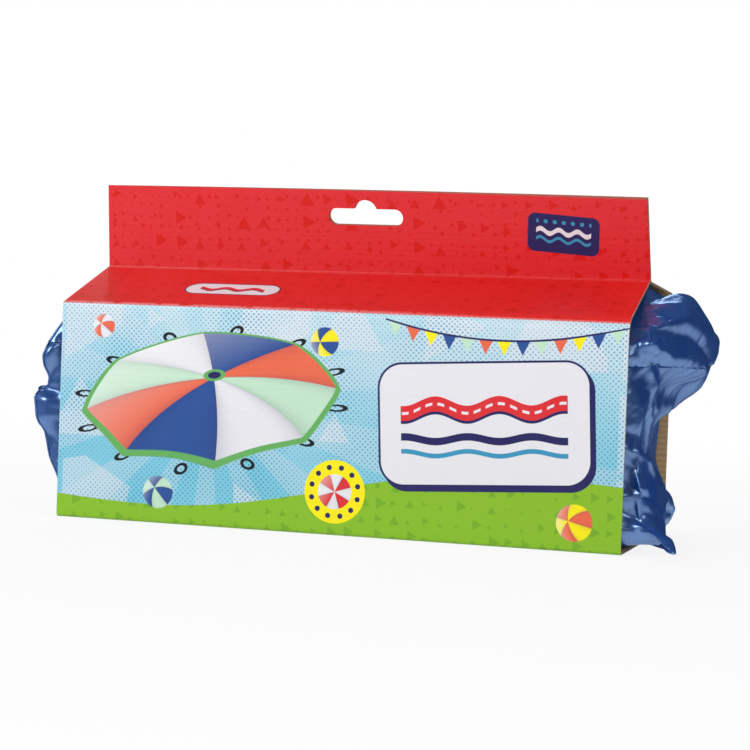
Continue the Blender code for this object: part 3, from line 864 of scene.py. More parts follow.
def kraft_colours(wire):
    """Bare brown liner: short fibres and specks, with faint painted shade along the sleeve in the hollows between
    the flutes.
    """
    place = surface_place(wire)
    u, v = axis(place, 0), axis(place, 1)
    fibre = noise(wire, point(wire, u * 0.25, v), 1400, 3.0, 0.6)
    speck = noise(wire, place, 520, 2.0)
    flute = sine(v * (math.tau / FLUTE_PITCH))
    tone = mix(KRAFT_PALE, KRAFT_DEEP, below(fibre, 0.5, 0.2))
    tone = mix(tone, KRAFT_SPECK, below(speck, 0.3, 0.04) * 0.5)
    # Painted shade: darker lines where the flutes' bump is low
    tone = mix(tone, KRAFT_FLUTE_SHADOW, below(flute, -0.3, 0.6) * 0.35)
    return {"Base Color": tone, "Normal": bump(flute * 0.3 + fibre * 0.3, 0.0003, 0.7)}


def cut_colours(wire):
    """A cut edge: white printed liner, brown liner, and the fluted layer that waves between them, with painted
    shadow in the hollows. On the header the edges are mixed with a muted red."""
    place = surface_place(wire)
    depth, along = axis(place, 0), axis(place, 1)
    outer, inner = LINER_DEPTHS
    wave = depth - BOARD / 2 - sine(along * (math.tau / FLUTE_PITCH)) * (BOARD / 2 - outer)
    # The hollows between liners and flute are painted dark brown as their shadow
    tone = mix(CUT_PAINTED_SHADOW, CUT_PAPER, below(size(wave), FLUTE_LINE, 0.00006))
    tone = mix(tone, CUT_LINER, below(depth, outer, 0.00005))
    tone = mix(tone, CUT_PAPER, 1 - below(depth, BOARD - inner, 0.00005))
    header = 1 - below(axis(object_place(wire), 2), RIDGE_HEIGHT + 0.002, 0.001)
    return {"Base Color": mix(tone, CUT_RED, header * 0.8)}


printed = make_material("printed_board", printed_board, {"Specular IOR Level": 0.3})
kraft = make_material("kraft_board", kraft_colours, {"Roughness": 0.85, "Specular IOR Level": 0.2})
cut_edge = make_material("cut_board", cut_colours, {"Roughness": 0.9, "Specular IOR Level": 0.2})

stretches = board_path()
board = [printed, kraft, cut_edge]
header_front = board_piece("header_front_board", stretches[0:1], board)
crease_front = board_piece("header_crease_front", stretches[1:2], board)
sleeve = board_piece("sleeve_board", stretches[2:11], board)
crease_rear = board_piece("header_crease_rear", stretches[11:12], board)
header_back = board_piece("header_back_board", stretches[12:13], board)
cut_slot([header_front, header_back])
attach(sleeve, "sleeve")
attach(header_front, "header")
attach(header_back, "header")
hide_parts("sleeve_wrap")
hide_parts("header_front_ply")
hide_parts("header_back_ply")
for crease in (crease_front, crease_rear):
    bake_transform(crease)


# Storage bag

# Sizes of the stuffed bag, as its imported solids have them, with its corners' radii from the back bottom round
BAG_SIDE = HALF_DEPTH - BOARD - 0.0008
BAG_FLOOR = BOARD + 0.0003
BAG_DROP = BOARD + 0.0045
BAG_RADII = (0.012, 0.012, 0.018, 0.03, 0.018)
BAG_ARC_POINTS = 24
BAG_MIDDLE = 0.0575
CLOSED_END = HALF_LENGTH - 0.018
SEAM_HEIGHT = 0.092

# The closed end: its even bulge, then swellings as reach along X, height, its rise per length across,
# spread up, side and spread across
END_BULGE = 0.0225
SWELLINGS = (
    (0.0292, 0.0915, -0.26, 0.0225, 0.007, 0.069),
    (0.0150, 0.0138, -0.08, 0.0190, -0.0276, 0.069),
    (-0.0095, 0.0518, 0, 0.0288, 0.0552, 0.069),
)
LOBE_RISE = 0.0076
END_POWER = 11
END_CELLS = 84
CAP_POINTS = 400
CAP_STEEPNESS = 1.9
ON_EDGE = 1 - 1e-9
WALL_ROWS = 34
WALL_CROWDING = 0.75
END_ROWS = 8
MOUTH_REACH = 0.0035
MOUTH_BELLY = (0.0155, 0.06325, 0.03105)
MOUTH_SIDES = (-0.05, 0.02)

# The mouth's front edge as millimetres of height, and of reach past the sleeve
MOUTH_FRONT = ((0, -1), (14, -0.5), (21, 0.8), (28.5, 5), (32, 6.4), (40, 8), (45, 9.3), (49, 12.4), (54, 13.6),
               (63, 15), (68.6, 14), (70.2, 9.2), (73, 8.3), (84, 9.6), (92, 8.3), (98, 5.3), (107, 0),
               (130, 0))


def bag_section():
    """The stuffed bag across the sleeve in Y and Z: a closed gable with round corners, in even steps."""
    corners = [(BAG_SIDE, BAG_FLOOR), (-BAG_SIDE, BAG_FLOOR), (-BAG_SIDE, FRONT_HEIGHT - BAG_DROP),
               (RIDGE_Y, RIDGE_HEIGHT - BAG_DROP), (BAG_SIDE, BACK_HEIGHT - BAG_DROP)]
    bends = []
    for i, radius in enumerate(BAG_RADII):
        three = [np.array([corners[k % len(corners)]]) for k in (i - 1, i, i + 1)]
        bends.append(bend(*three, radius, BAG_ARC_POINTS)[0][:, 0])
    outline = np.concatenate(bends + [bends[0][:1]])
    steps = steps_along(outline)
    places = np.linspace(0, steps[-1], 4 * END_CELLS, endpoint=False)
    section = np.column_stack([np.interp(places, steps, outline[:, i]) for i in (0, 1)])
    return np.concatenate([section, section[:1]])


def mouth_edge(y, z):
    """Where the bag's mouth ends along X: its front edge as photographed, its back edge in one belly."""
    belly, centre, spread = MOUTH_BELLY
    back = MOUTH_REACH + belly * swell(z - centre, spread)
    heights, reaches = np.array(MOUTH_FRONT).T / 1000
    front = np.interp(z, heights, reaches)
    return -HALF_LENGTH - front - (back - front) * rise_from(y, *MOUTH_SIDES)


def end_reach(y, z):
    """How far the closed end swells along X: an even bulge and the sum of its swellings."""
    reach = np.full(y.shape, END_BULGE)
    for out, height, slope, tall, side, wide in SWELLINGS:
        reach = reach + out * swell(z - height - slope * np.minimum(y, 0), tall) * swell(y - side, wide)
    return reach


def end_cap():
    """The closed end as a square grid. A cell's ring is its share of the section, and its place on the ring
    is its place round the section. Rings are spaced evenly along the end's own curve."""
    fine = np.linspace(0, 1, CAP_POINTS)
    curve = np.column_stack([HALF_DEPTH * fine, CAP_STEEPNESS * END_BULGE * np.sqrt(1 - fine ** END_POWER)])
    steps = steps_along(curve)
    places = np.linspace(-1, 1, END_CELLS + 1)
    a, b = np.meshgrid(places, places, indexing="ij")
    ring = np.maximum(abs(a), abs(b))
    share = np.interp(ring * steps[-1], steps, fine)
    safe = np.where(ring == 0, 1, ring)
    p, q = a / safe, b / safe
    quarter = np.select([q <= -ON_EDGE, p >= ON_EDGE, q >= ON_EDGE],
                        [(p + 1) / 2, 1 + (q + 1) / 2, 2 + (1 - p) / 2], 3 + (1 - q) / 2) % 4
    section = bag_section()
    y, z = (np.interp(quarter * END_CELLS, np.arange(len(section)), section[:, i]) for i in (0, 1))
    across = share * y
    up = BAG_MIDDLE + share * (z - BAG_MIDDLE)
    swelling = np.sqrt(1 - share ** END_POWER)
    rise = LOBE_RISE * swelling * np.maximum(0, up / BAG_MIDDLE - 1)
    x = CLOSED_END + end_reach(across, up) * swelling
    return np.stack([x, across, up + rise], axis=2)


def bag_wall():
    """The wall from the mouth to the closed end, closed round the sleeve. Its rows along X crowd at both ends."""
    section = bag_section()
    start = mouth_edge(section[:, 0], section[:, 1])
    even = np.linspace(0, 1, WALL_ROWS)
    share = (even - WALL_CROWDING * np.sin(math.tau * even) / math.tau)[:, None]
    x = start + (CLOSED_END - start) * share
    return np.dstack([x, *(np.broadcast_to(section[:, i], x.shape) for i in (0, 1))])


def cloth_grid(grid, number=0):
    """A patch of cloth, whose flat coordinates are its places in X and Z before any fold."""
    return grid, grid[:, :, [0, 2]], number


# Folds of the closed end's front side, as rise, width and line in Y and Z. A fall is less than zero.
END_FOLDS = (
    (-0.0042, 0.0040, ((-0.0600, 0.1080), (-0.0555, 0.1093), (-0.0495, 0.1135), (-0.040, 0.118))),
    (0.0034, 0.0048, ((-0.0630, 0.1040), (-0.0570, 0.1054), (-0.0545, 0.1012), (-0.0443, 0.0977),
                      (-0.025, 0.0939), (-0.005, 0.0910))),
    (-0.0034, 0.0044, ((-0.0500, 0.1085), (-0.0329, 0.1054), (-0.015, 0.1003), (0.0, 0.0955))),
    (-0.0040, 0.0090, ((-0.0500, 0.0905), (-0.0400, 0.0863), (-0.020, 0.082), (0.005, 0.079))),
    (0.0030, 0.0036, ((-0.0643, 0.0974), (-0.0583, 0.0911), (-0.0454, 0.0837), (-0.0265, 0.0716))),
    (0.0018, 0.0022, ((-0.0500, 0.0810), (-0.0436, 0.0755), (-0.0285, 0.0654), (-0.010, 0.0530))),
    (-0.0022, 0.0036, ((-0.0645, 0.0600), (-0.052, 0.0565), (-0.035, 0.0505), (-0.010, 0.0435))),
    (0.0020, 0.0040, ((-0.0655, 0.0548), (-0.0612, 0.0514), (-0.0400, 0.0446), (-0.0094, 0.0376))),
    (-0.0036, 0.0034, ((-0.0650, 0.0352), (-0.0627, 0.0329), (-0.0600, 0.0300), (-0.0358, 0.0289))),
    (0.0030, 0.0040, ((-0.0400, 0.0446), (-0.0292, 0.0325), (-0.0353, 0.0280), (-0.0404, 0.0178),
                      (-0.0600, 0.0076))),
    (-0.0030, 0.0032, ((-0.0655, 0.0224), (-0.0624, 0.0159), (-0.0600, 0.0081), (-0.0560, 0.0034))),
    (-0.0052, 0.0036, ((-0.0500, 0.0185), (-0.0360, 0.0180), (-0.006, 0.0165))),
    (0.0020, 0.0030, ((-0.0257, 0.1023), (-0.0224, 0.1079), (-0.0114, 0.1091), (0.0195, 0.1068))),
)

# Folds of the mouth's front side, with their lines in X and Z
MOUTH_FOLDS = (
    (-0.0030, 0.0022, ((-0.1690, 0.0695), (-0.1610, 0.0680), (-0.1530, 0.0672))),
    (0.0018, 0.0030, ((-0.1665, 0.0640), (-0.1600, 0.0630), (-0.1540, 0.0600))),
    (0.0022, 0.0024, ((-0.1640, 0.0760), (-0.1590, 0.0860), (-0.1535, 0.0960))),
    (-0.0022, 0.0024, ((-0.1625, 0.0720), (-0.1575, 0.0790), (-0.1530, 0.0850))),
    (0.0014, 0.0020, ((-0.1620, 0.0860), (-0.1580, 0.0930), (-0.1540, 0.0990))),
    (-0.0016, 0.0026, ((-0.1640, 0.0470), (-0.1580, 0.0420), (-0.1530, 0.0360))),
)
FOLD_SOFTNESS = 0.0010

# Where the bag bulges beyond its even shape, in millimetres: the move along X, Y and Z, the place of its
# middle and its spread
BULGES = (
    ((1.5, -8.0, 0), (162, -58, 107), (9, 20, 9)),
    ((5.0, 0, 6.0), (171, -22, 119), (14.0, 45, 13)),
    ((-1.6, 0, 0), (186, -22, 94), (9.0, 45, 11)),
    ((-4.0, 0, 0.5), (170, -22, 77), (9.0, 45, 5)),
    ((-3.2, 0, 0), (154, 44, 66), (8.0, 30, 6)),
    ((2.4, 0, 0), (147, 54, 50), (8.0, 30, 8)),
    ((0, 3.0, 0), (154.5, -62, 99), (3.0, 20, 16)),
    ((0, -3.5, 0), (155.0, -62, 54), (3.5, 20, 16)),
    ((1.5, -5.5, 0), (161.5, -60, 34), (7, 16, 8)),
    ((0, 3.0, 0), (154.0, -62, 24), (2.8, 16, 9)),
    ((5.5, 0, 0), (160.0, -57, 70), (10, 13, 17)),
    ((0, -4.5, 0), (157.0, -62, 57), (9, 16, 17)),
    ((0, 3.0, 0), (156.0, -62, 93), (9, 16, 11)),
    ((29.0, -31.0, -3.5), (162.0, -58, 2), (13.5, 19, 10)),
    ((2.5, 0, 0), (160.0, -57, 48), (10, 13, 9)),
    ((0, 0, -7.0), (157.0, 5, 134), (7, 30, 14)),
    ((0, 0, 5.0), (174.0, -5, 125), (11, 35, 12)),
    ((0, 0, -4.0), (164.0, -30, 4), (8.0, 18, 8)),
    ((0, -4.0, 0), (-162, -66, 56), (6.0, 14, 12)),
    ((0, -3.0, 0), (-159, -66, 86), (5.0, 14, 9)),
)
FLOOR_CLEARANCE = 0.0003
FRONT_STRETCH = 0.0125

# Where shaping fades in, from its start to its stop: past the sleeve, at the front, above the floor, towards
# the closed end, and inside the end's own piece
BULGE_FADE = (HALF_LENGTH, HALF_LENGTH + 0.006)
MOUTH_FADE = (HALF_LENGTH + 0.0005, HALF_LENGTH + 0.004)
FRONT_FADE = (0.03, 0.05)
FLOOR_FADE = (0.002, 0.012)
WALL_FADE = (0.06, 0.095)
END_FADE = (HALF_LENGTH - 0.010, HALF_LENGTH - 0.002)
CLOTH_FADE = (HALF_LENGTH - 0.002, HALF_LENGTH + 0.01)

# Random creases, with the seeds of their draws
CRUMPLE_SIZE = 0.0006
CRUMPLE_PITCH = 0.022
CRUMPLE_PITCHES = (0.6, 1.6)
CRUMPLE_RIDGES = 9
CRUMPLE_BEND = 1.4
CRUMPLE_BEND_PITCH = 2.2 * CRUMPLE_PITCH
END_SEED = 4
WALL_SEED = 9
INNER_SEED = 12
WALL_CRUMPLE = 0.8
INNER_FOLD = 0.0012

# Seam, stitches and hem
SEAM_DEPTH = 0.0006
SEAM_SPREAD = 0.0013
PUCKER_SIZE = 0.0004
PUCKER_PITCH = 0.0042
PUCKER_SPREAD = 0.0045
PUCKER_WANDER = (1.3, 190)
STITCH_PITCH = 0.0032
STITCH_LENGTH = 0.0019
STITCH_RADIUS = 0.00026
SEAM_LIFT = 0.0009
CLOTH_THICKNESS = 0.00025
HEM_ROWS = 7
HEM_DEPTH = 0.008
HEM_CLOTH = 0.00035
ROLL_RADIUS = 0.00055
CHANNEL_PLACE = (-0.1662, -0.0655, 0.0702)
CHANNEL_SIZE = (0.0017, 0.0011)
CHANNEL_LIP = 0.0005
CHANNEL_FLOOR = 0.0003
ASKEW = (0.3, 0.2, 0.9)

# The run of Blender's cloth on the closed end, and how far it may move a point
CLOTH_FRAMES = 14
CLOTH_REACH = 0.0035
CLOTH_STIFFNESS = 12
CLOTH_RUN = {
    "quality": 6, "mass": 0.1, "tension_stiffness": CLOTH_STIFFNESS, "compression_stiffness": CLOTH_STIFFNESS,
    "shear_stiffness": CLOTH_STIFFNESS / 3, "bending_stiffness": 0.02, "shrink_min": -0.08,
    "vertex_group_mass": "held", "pin_stiffness": 1, "use_pressure": True, "uniform_pressure_force": 0.2,
}


def line_distance(y, z, line):
    """Distance in Y and Z from a line of straight parts."""
    best = np.full(y.shape, 1.0)
    for (ya, za), (yb, zb) in zip(line, line[1:]):
        run = np.array([yb - ya, zb - za])
        share = np.clip(((y - ya) * run[0] + (z - za) * run[1]) / (run @ run), 0, 1)
        best = np.minimum(best, np.hypot(y - ya - share * run[0], z - za - share * run[1]))
    return best


def fold_height(a, b, folds):
    """The sum of all folds: each fades from its line by a softened peak."""
    height = np.zeros(a.shape)
    for rise, width, line in folds:
        far = np.sqrt(line_distance(a, b, line) ** 2 + FOLD_SOFTNESS ** 2) - FOLD_SOFTNESS
        height += rise * np.exp(-far / width)
    return height


def bulged(places):
    """Points moved by every bulge that reaches them, kept above the floor. Inside the sleeve they move only
    along X, because the board holds them."""
    moved = places.copy()
    outside = rise_from(abs(places[:, 0]), *BULGE_FADE)[:, None]
    free = np.hstack([np.ones_like(outside), outside, outside])
    for step, middle, spread in BULGES:
        far = (places * 1000 - middle) / spread
        moved += np.array(step) / 1000 * np.exp(-(far ** 2).sum(1))[:, None] * free
    ahead = np.maximum(-HALF_DEPTH - moved[:, 1], 0)
    moved[:, 1] += ahead - FRONT_STRETCH * np.tanh(ahead / FRONT_STRETCH)
    moved[:, 2] = np.maximum(moved[:, 2], FLOOR_CLEARANCE)
    return moved


def crumple(points, seed):
    """Shallow random creases: the sum of bent sine ridges in chance directions."""
    chance = np.random.default_rng(seed)
    height = np.zeros(points.shape[:-1])
    for _ in range(CRUMPLE_RIDGES):
        direction = chance.normal(size=3)
        direction /= np.linalg.norm(direction)
        other = chance.normal(size=3)
        pitch = CRUMPLE_PITCH * chance.uniform(*CRUMPLE_PITCHES)
        wander = np.sin(points @ other / CRUMPLE_BEND_PITCH + chance.uniform(0, math.tau)) * CRUMPLE_BEND
        phase = points @ direction * (math.tau / pitch) + wander + chance.uniform(0, math.tau)
        height += (1 - np.abs(np.sin(phase / 2)) * 2) * pitch / CRUMPLE_PITCH
    return height * CRUMPLE_SIZE / 3


def point_normals(mesh):
    """The directions square to a mesh at its points."""
    normals = np.zeros(len(mesh.vertices) * 3)
    mesh.vertex_normals.foreach_get("vector", normals)
    return normals.reshape(-1, 3)


def places_of(mesh):
    """The places of a mesh's points."""
    places = np.zeros(len(mesh.vertices) * 3)
    mesh.vertices.foreach_get("co", places)
    return places.reshape(-1, 3)


def set_places(mesh, places):
    """Move a mesh's points to new places."""
    mesh.vertices.foreach_set("co", places.ravel())
    mesh.update()


def let_cloth_move(piece, loose):
    """Run Blender's cloth on a piece. Loose gives each point's freedom from 0 to 1."""
    scene = bpy.context.scene
    rest = places_of(piece.data)
    group = piece.vertex_groups.new(name="held")
    for index, weight in enumerate(1 - loose):
        group.add([index], float(weight), "REPLACE")
    cloth = piece.modifiers.new("cloth", "CLOTH")
    for name, value in CLOTH_RUN.items():
        setattr(cloth.settings, name, value)
    cloth.settings.effector_weights.gravity = 0
    cloth.collision_settings.use_collision = False
    cloth.collision_settings.use_self_collision = False
    scene.frame_start = 1
    scene.frame_end = CLOTH_FRAMES
    cloth.point_cache.frame_end = CLOTH_FRAMES
    for number in range(1, CLOTH_FRAMES + 1):
        scene.frame_set(number)
    moved = piece.evaluated_get(bpy.context.evaluated_depsgraph_get()).to_mesh()
    places = places_of(moved)
    piece.modifiers.remove(cloth)
    scene.frame_set(1)
    step = places - rest
    far = np.linalg.norm(step, axis=1)[:, None]
    step *= np.minimum(1, CLOTH_REACH / np.maximum(far, WELD))
    set_places(piece.data, rest + step)


def cut_at_seam(mesh):
    """Cut a mesh's faces along the seam's height, so that the panels part on a clean line."""
    with reworked(mesh) as work:
        everything = work.verts[:] + work.edges[:] + work.faces[:]
        bmesh.ops.bisect_plane(work, geom=everything, dist=WELD, plane_co=(0, 0, SEAM_HEIGHT),
                               plane_no=(0, 0, 1))


def seam_height(rest):
    """The seam's valley and the puckers beside it, from the places before any fold."""
    off = rest[:, 2] - SEAM_HEIGHT
    along = rest[:, 0] + rest[:, 1]
    wander, waves = PUCKER_WANDER
    pucker = np.sin(along * (math.tau / PUCKER_PITCH) + wander * np.sin(along * waves))
    return PUCKER_SIZE * pucker * swell(off, PUCKER_SPREAD) - SEAM_DEPTH * swell(off, SEAM_SPREAD)


def wall_height(rest):
    """Folds of the wall: at the mouth as photographed, and shallow ones inwards where the board is close.
    They fade out where the closed end's own piece starts, so that the two meet."""
    outside = rise_from(-rest[:, 0], *MOUTH_FADE)
    folds = fold_height(rest[:, 0], rest[:, 2], MOUTH_FOLDS) * rise_from(-rest[:, 1], *FRONT_FADE)
    loose = folds + crumple(rest, WALL_SEED) * WALL_CRUMPLE
    pressed = -INNER_FOLD * swell(crumple(rest, INNER_SEED) / CRUMPLE_SIZE - 0.7, 0.6)
    above_floor = rise_from(rest[:, 2], *FLOOR_FADE)
    before_end = 1 - rise_from(rest[:, 0], *WALL_FADE)
    return loose * outside + pressed * (1 - outside) * (0.3 + 0.7 * above_floor) * before_end


def end_height(rest):
    """Folds and creases of the closed end, which fade out inside the sleeve."""
    out = rise_from(rest[:, 0], *END_FADE)
    return (fold_height(rest[:, 1], rest[:, 2], END_FOLDS) + crumple(rest, END_SEED)) * out


def shape_cloth(piece, height_of):
    """Bulge a piece of the bag, then raise its folds and its seam along its normals. Gives its places from
    before that."""
    mesh = piece.data
    cut_at_seam(mesh)
    rest = places_of(mesh)
    set_places(mesh, bulged(rest))
    height = height_of(rest) + seam_height(rest)
    set_places(mesh, places_of(mesh) + point_normals(mesh) * height[:, None])
    return rest


def panel_from(pieces, name, upper):
    """One panel: the faces above or below the seam of the bag's pieces, joined into one mesh."""
    work = bmesh.new()
    for piece in pieces:
        work.from_mesh(piece.data)
    flat = work.loops.layers.uv["flat"]
    other = [face for face in work.faces
             if (sum(loop[flat].uv.y for loop in face.loops) / len(face.loops) > SEAM_HEIGHT) != upper]
    bmesh.ops.delete(work, geom=other, context="FACES")
    bmesh.ops.remove_doubles(work, verts=work.verts, dist=WELD * 10)
    mesh = bpy.data.meshes.new(name)
    work.to_mesh(mesh)
    work.free()
    mesh.materials.append(satin)
    mesh.shade_smooth()
    return add_object(name, mesh)


def edge_line(mesh, belongs):
    """A mesh's open edge as points in order, along the edges whose places before any fold belong to it."""
    work = bmesh.new()
    work.from_mesh(mesh)
    flat = work.loops.layers.uv["flat"]
    before = {loop.vert: loop[flat].uv.copy() for face in work.faces for loop in face.loops}
    following = {}
    for edge in work.edges:
        if edge.is_boundary and all(belongs(*before[vert]) for vert in edge.verts):
            for vert in edge.verts:
                following.setdefault(vert, []).append(edge)
    ends = [vert for vert, edges in following.items() if len(edges) == 1] or list(following)
    here = min(ends, key=lambda vert: vert.co.y)
    line, used = [tuple(here.co)], set()
    while True:
        ahead = [edge for edge in following[here] if edge not in used]
        if not ahead:
            break
        used.add(ahead[0])
        here = ahead[0].other_vert(here)
        line.append(tuple(here.co))
    work.free()
    return np.array(line)


def outwards(points):
    """Directions away from the bag's middle line, across the sleeve."""
    return unit(points * [0, 1, 1] - [0, 0, BAG_MIDDLE])


def tube_round(name, line, radius, material, sides=8):
    """A tube along a closed line: rings across the line's own direction, the last joined to the first."""
    along = np.roll(line[:-1], -1, axis=0) - np.roll(line[:-1], 1, axis=0)
    along = unit(np.concatenate([along, along[:1]]))
    side = unit(np.cross(along, outwards(line)))
    other = np.cross(side, along)
    turn = np.linspace(0, math.tau, sides + 1)[None, :, None]
    grid = line[:, None] + radius * (np.cos(turn) * side[:, None] + np.sin(turn) * other[:, None])
    return make_piece(name, [cloth_grid(grid)], [material], math.pi)


def channel_mouth(name, wall, material, shadow_paint):
    """The drawstring channel's small mouth: an oval lip of rolled cloth round a floor painted near black as the
    channel's shadow.
    """
    tree = bvhtree.BVHTree.FromPolygons([vert.co for vert in wall.data.vertices],
                                        [face.vertices for face in wall.data.polygons])
    near, normal = (np.array(found) for found in tree.find_nearest(CHANNEL_PLACE)[:2])
    side = unit(np.cross(normal, (0, 0, 1)))
    rise = np.cross(side, normal)
    turn = np.linspace(0, math.tau, 25)[:, None]
    oval = np.cos(turn) * side * CHANNEL_SIZE[0] + np.sin(turn) * rise * CHANNEL_SIZE[1]
    tilt = np.linspace(math.pi, -math.pi / 2, 13)[:, None, None]
    lip = near + oval + CHANNEL_LIP * ((1 + np.cos(tilt)) * unit(oval) + np.sin(tilt) * normal)
    # A near-black oval stands in for the shadow inside the channel
    floor = near + CHANNEL_FLOOR * normal + np.array([0, 1])[:, None, None] * oval
    return make_piece(name, [plain_grid(lip), plain_grid(floor, 1)], [material, shadow_paint], math.pi)


def plain_grid(grid, number=0):
    """A patch that needs no flat coordinates."""
    return grid, np.zeros((*grid.shape[:2], 2)), number


def rod(start, stop, radius, sides=8, rings=5):
    """A short rod with round ends, as a grid closed round its length and at its poles."""
    reach = np.linalg.norm(stop - start)
    axis_line = (stop - start) / reach
    side = unit(np.cross(axis_line, ASKEW))
    other = np.cross(axis_line, side)
    turn = np.linspace(0, math.tau, sides + 1)
    ring = np.cos(turn)[:, None] * side + np.sin(turn)[:, None] * other
    tilt = np.linspace(0, math.pi / 2, rings)
    near = [(-radius * math.cos(t), radius * math.sin(t)) for t in tilt]
    far = [(reach + radius * math.sin(t), radius * math.cos(t)) for t in tilt]
    return plain_grid(np.stack([start + axis_line * along + ring * wide for along, wide in near + far]))


def stitches_along(name, line, lifts, material):
    """Stitches of thread at even steps on a line, each point lifted off it."""
    line = line + lifts
    steps = steps_along(line)
    patches = []
    for middle in np.arange(STITCH_PITCH, steps[-1] - STITCH_PITCH, STITCH_PITCH):
        ends = [np.array([np.interp(middle + half, steps, line[:, i]) for i in range(3)])
                for half in (-STITCH_LENGTH / 2, STITCH_LENGTH / 2)]
        patches.append(rod(ends[0], ends[1], STITCH_RADIUS))
    return make_piece(name, patches, [material], math.pi)


SATIN_SHADES = (colour(0, 60, 142), colour(2, 68, 152))
LINING_SHADES = (colour(30, 58, 120), colour(40, 72, 136))
THREAD_BLUE = colour(26, 48, 104)
# Near black: painted shadow inside the drawstring's channel
CHANNEL_SHADOW_COLOUR = colour(10, 18, 44)


def lining_colours(wire):
    """The matt back of the satin: a darker even blue with a faint weave."""
    fine = noise(wire, object_place(wire), 420, 2.0)
    return {"Base Color": mix(*LINING_SHADES, fine), "Normal": bump(fine, 0.0004, 0.4)}


def finish_cloth(piece, thickness, offset):
    """Smooth a piece of cloth once and give it its thickness, whose inner side is the lining."""
    finer = piece.modifiers.new("finer", "SUBSURF")
    finer.levels = 1
    finer.render_levels = 1
    wall = piece.modifiers.new("thickness", "SOLIDIFY")
    wall.thickness = thickness
    wall.offset = offset
    wall.material_offset = 1
    piece.data.materials.append(lining)


def satin_colours(wire):
    """Satin: two near blues, faint soft wrinkles, a fine weave and a gloss that drifts a little."""
    place = object_place(wire)
    wrinkle = noise(wire, place, 55, 3.0, 0.5, 0.8)
    fine = noise(wire, place, 420, 2.0)
    return {"Base Color": mix(*SATIN_SHADES, below(wrinkle, 0.5, 0.2)),
            "Roughness": drifting(place, 35, 2.0, 0.26, 0.32),
            "Normal": bump(wrinkle + fine * 0.08, 0.0012, 0.4)}


satin = make_material("bag_satin", satin_colours, {"IOR": 4.3, "Specular Tint": (0.42, 0.64, 1, 1)})
lining = make_material("bag_lining", lining_colours, {"Roughness": 0.7, "Specular IOR Level": 0.2})
blue_thread = make_material("blue_thread", None, {"Base Color": THREAD_BLUE, "Roughness": 0.6})
# Painted shadow for the inside of the drawstring's channel
painted_channel_shadow = make_material("painted_channel_shadow", None, {"Base Color": CHANNEL_SHADOW_COLOUR, "Roughness": 0.9})

wall = bag_wall()
cap = end_cap()
rim = wall[-END_ROWS:]
end_cloth = make_piece("bag_end", [cloth_grid(rim), cloth_grid(cap)], [satin], math.pi)
wall_cloth = make_piece("bag_wall", [cloth_grid(wall[:-END_ROWS + 1])], [satin], math.pi)
hem = make_piece("mouth_hem", [cloth_grid(wall[:HEM_ROWS])], [lining], math.pi)
rest = shape_cloth(end_cloth, end_height)
shape_cloth(wall_cloth, wall_height)
shape_cloth(hem, wall_height)
let_cloth_move(end_cloth, rise_from(rest[:, 0], *CLOTH_FADE))
upper = panel_from([wall_cloth, end_cloth], "bag_upper_cloth", True)
lower = panel_from([wall_cloth, end_cloth], "bag_lower_cloth", False)
seam = edge_line(upper.data, lambda x, z: abs(z - SEAM_HEIGHT) < WELD * 10)
seam_thread = stitches_along("seam_stitches", seam, np.array([0, 0, SEAM_LIFT]), blue_thread)
mouth = edge_line(wall_cloth.data, lambda x, z: x < 0)
mouth_roll = tube_round("mouth_roll", mouth, ROLL_RADIUS, satin)
hem_end = edge_line(hem.data, lambda x, z: x > mouth_edge(0, z) + HEM_DEPTH)
hem_thread = stitches_along("hem_stitches", hem_end, outwards(hem_end) * STITCH_RADIUS, blue_thread)
channel = channel_mouth("channel_mouth", wall_cloth, satin, painted_channel_shadow)
for cloth_piece in (wall_cloth, end_cloth):
    bpy.data.objects.remove(cloth_piece)
finish_cloth(upper, CLOTH_THICKNESS, -1)
finish_cloth(lower, CLOTH_THICKNESS, -1)
finish_cloth(hem, HEM_CLOTH, -3)
for piece in (upper, lower, hem, seam_thread, mouth_roll, hem_thread, channel):
    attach(piece, "bag")
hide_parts("bag_upper_panel", "bag_seam_allowance")
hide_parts("bag_lower_panel", "bag_mouth_hem")


# Folded canopy

GORES = 8
RUNS = 7
HANDLES = 12
BUNDLE_START = -HALF_LENGTH + 0.0065
BUNDLE_STOP = CLOSED_END
BUNDLE_FLOOR = 0.0036
BUNDLE_TOP = 0.1034
RUN_PITCH = 0.0143857
RUN_GAP = 0.0009
LAYER_PITCH = 0.0017232
BUNDLE_BEND = 0.0480643
OUTER_EDGE = 0.03876
CLOTH = 0.0010
TAPE = 0.00045
BINDING_WIDTH = 0.009
VENT_LENGTH = 0.174
VENT_WIDTH = 0.0065
VENT_TAPE = 0.0014
VENT_GAP = 0.0008
WEBBING = 0.0013
WEBBING_SPACING = 0.0028
HANDLE_REACH = 0.088
CLEARANCE = 0.0003
END_WANDER = 0.0016
SAG = 0.00022


def half_round(centre, radius, start, stop, count):
    """Points on an arc in a plane, with both ends."""
    angles = np.linspace(start, stop, count)
    return np.column_stack([centre[0] + radius * np.cos(angles), centre[1] + radius * np.sin(angles)])


def folded_path(offset):
    """A gore's middle line in Y and Z: the runs of an accordion fold, joined by half rounds."""
    first = BUNDLE_FLOOR + (RUN_PITCH - RUN_GAP) / 2
    parts = []
    for run in range(RUNS):
        height = first + run * RUN_PITCH + offset
        side = 1 if run % 2 == 0 else -1
        start = -side * BUNDLE_BEND
        stop = side * BUNDLE_BEND if run < RUNS - 1 else OUTER_EDGE
        y = np.linspace(start, stop, 15)
        parts.append(np.column_stack([y, np.full(15, height)]))
        if run < RUNS - 1:
            centre = (side * BUNDLE_BEND, first + (run + 0.5) * RUN_PITCH)
            radius = RUN_PITCH / 2 - side * offset
            parts.append(half_round(centre, radius, -math.pi / 2, side * math.pi - math.pi / 2, 11)[1:-1])
    return np.concatenate(parts)


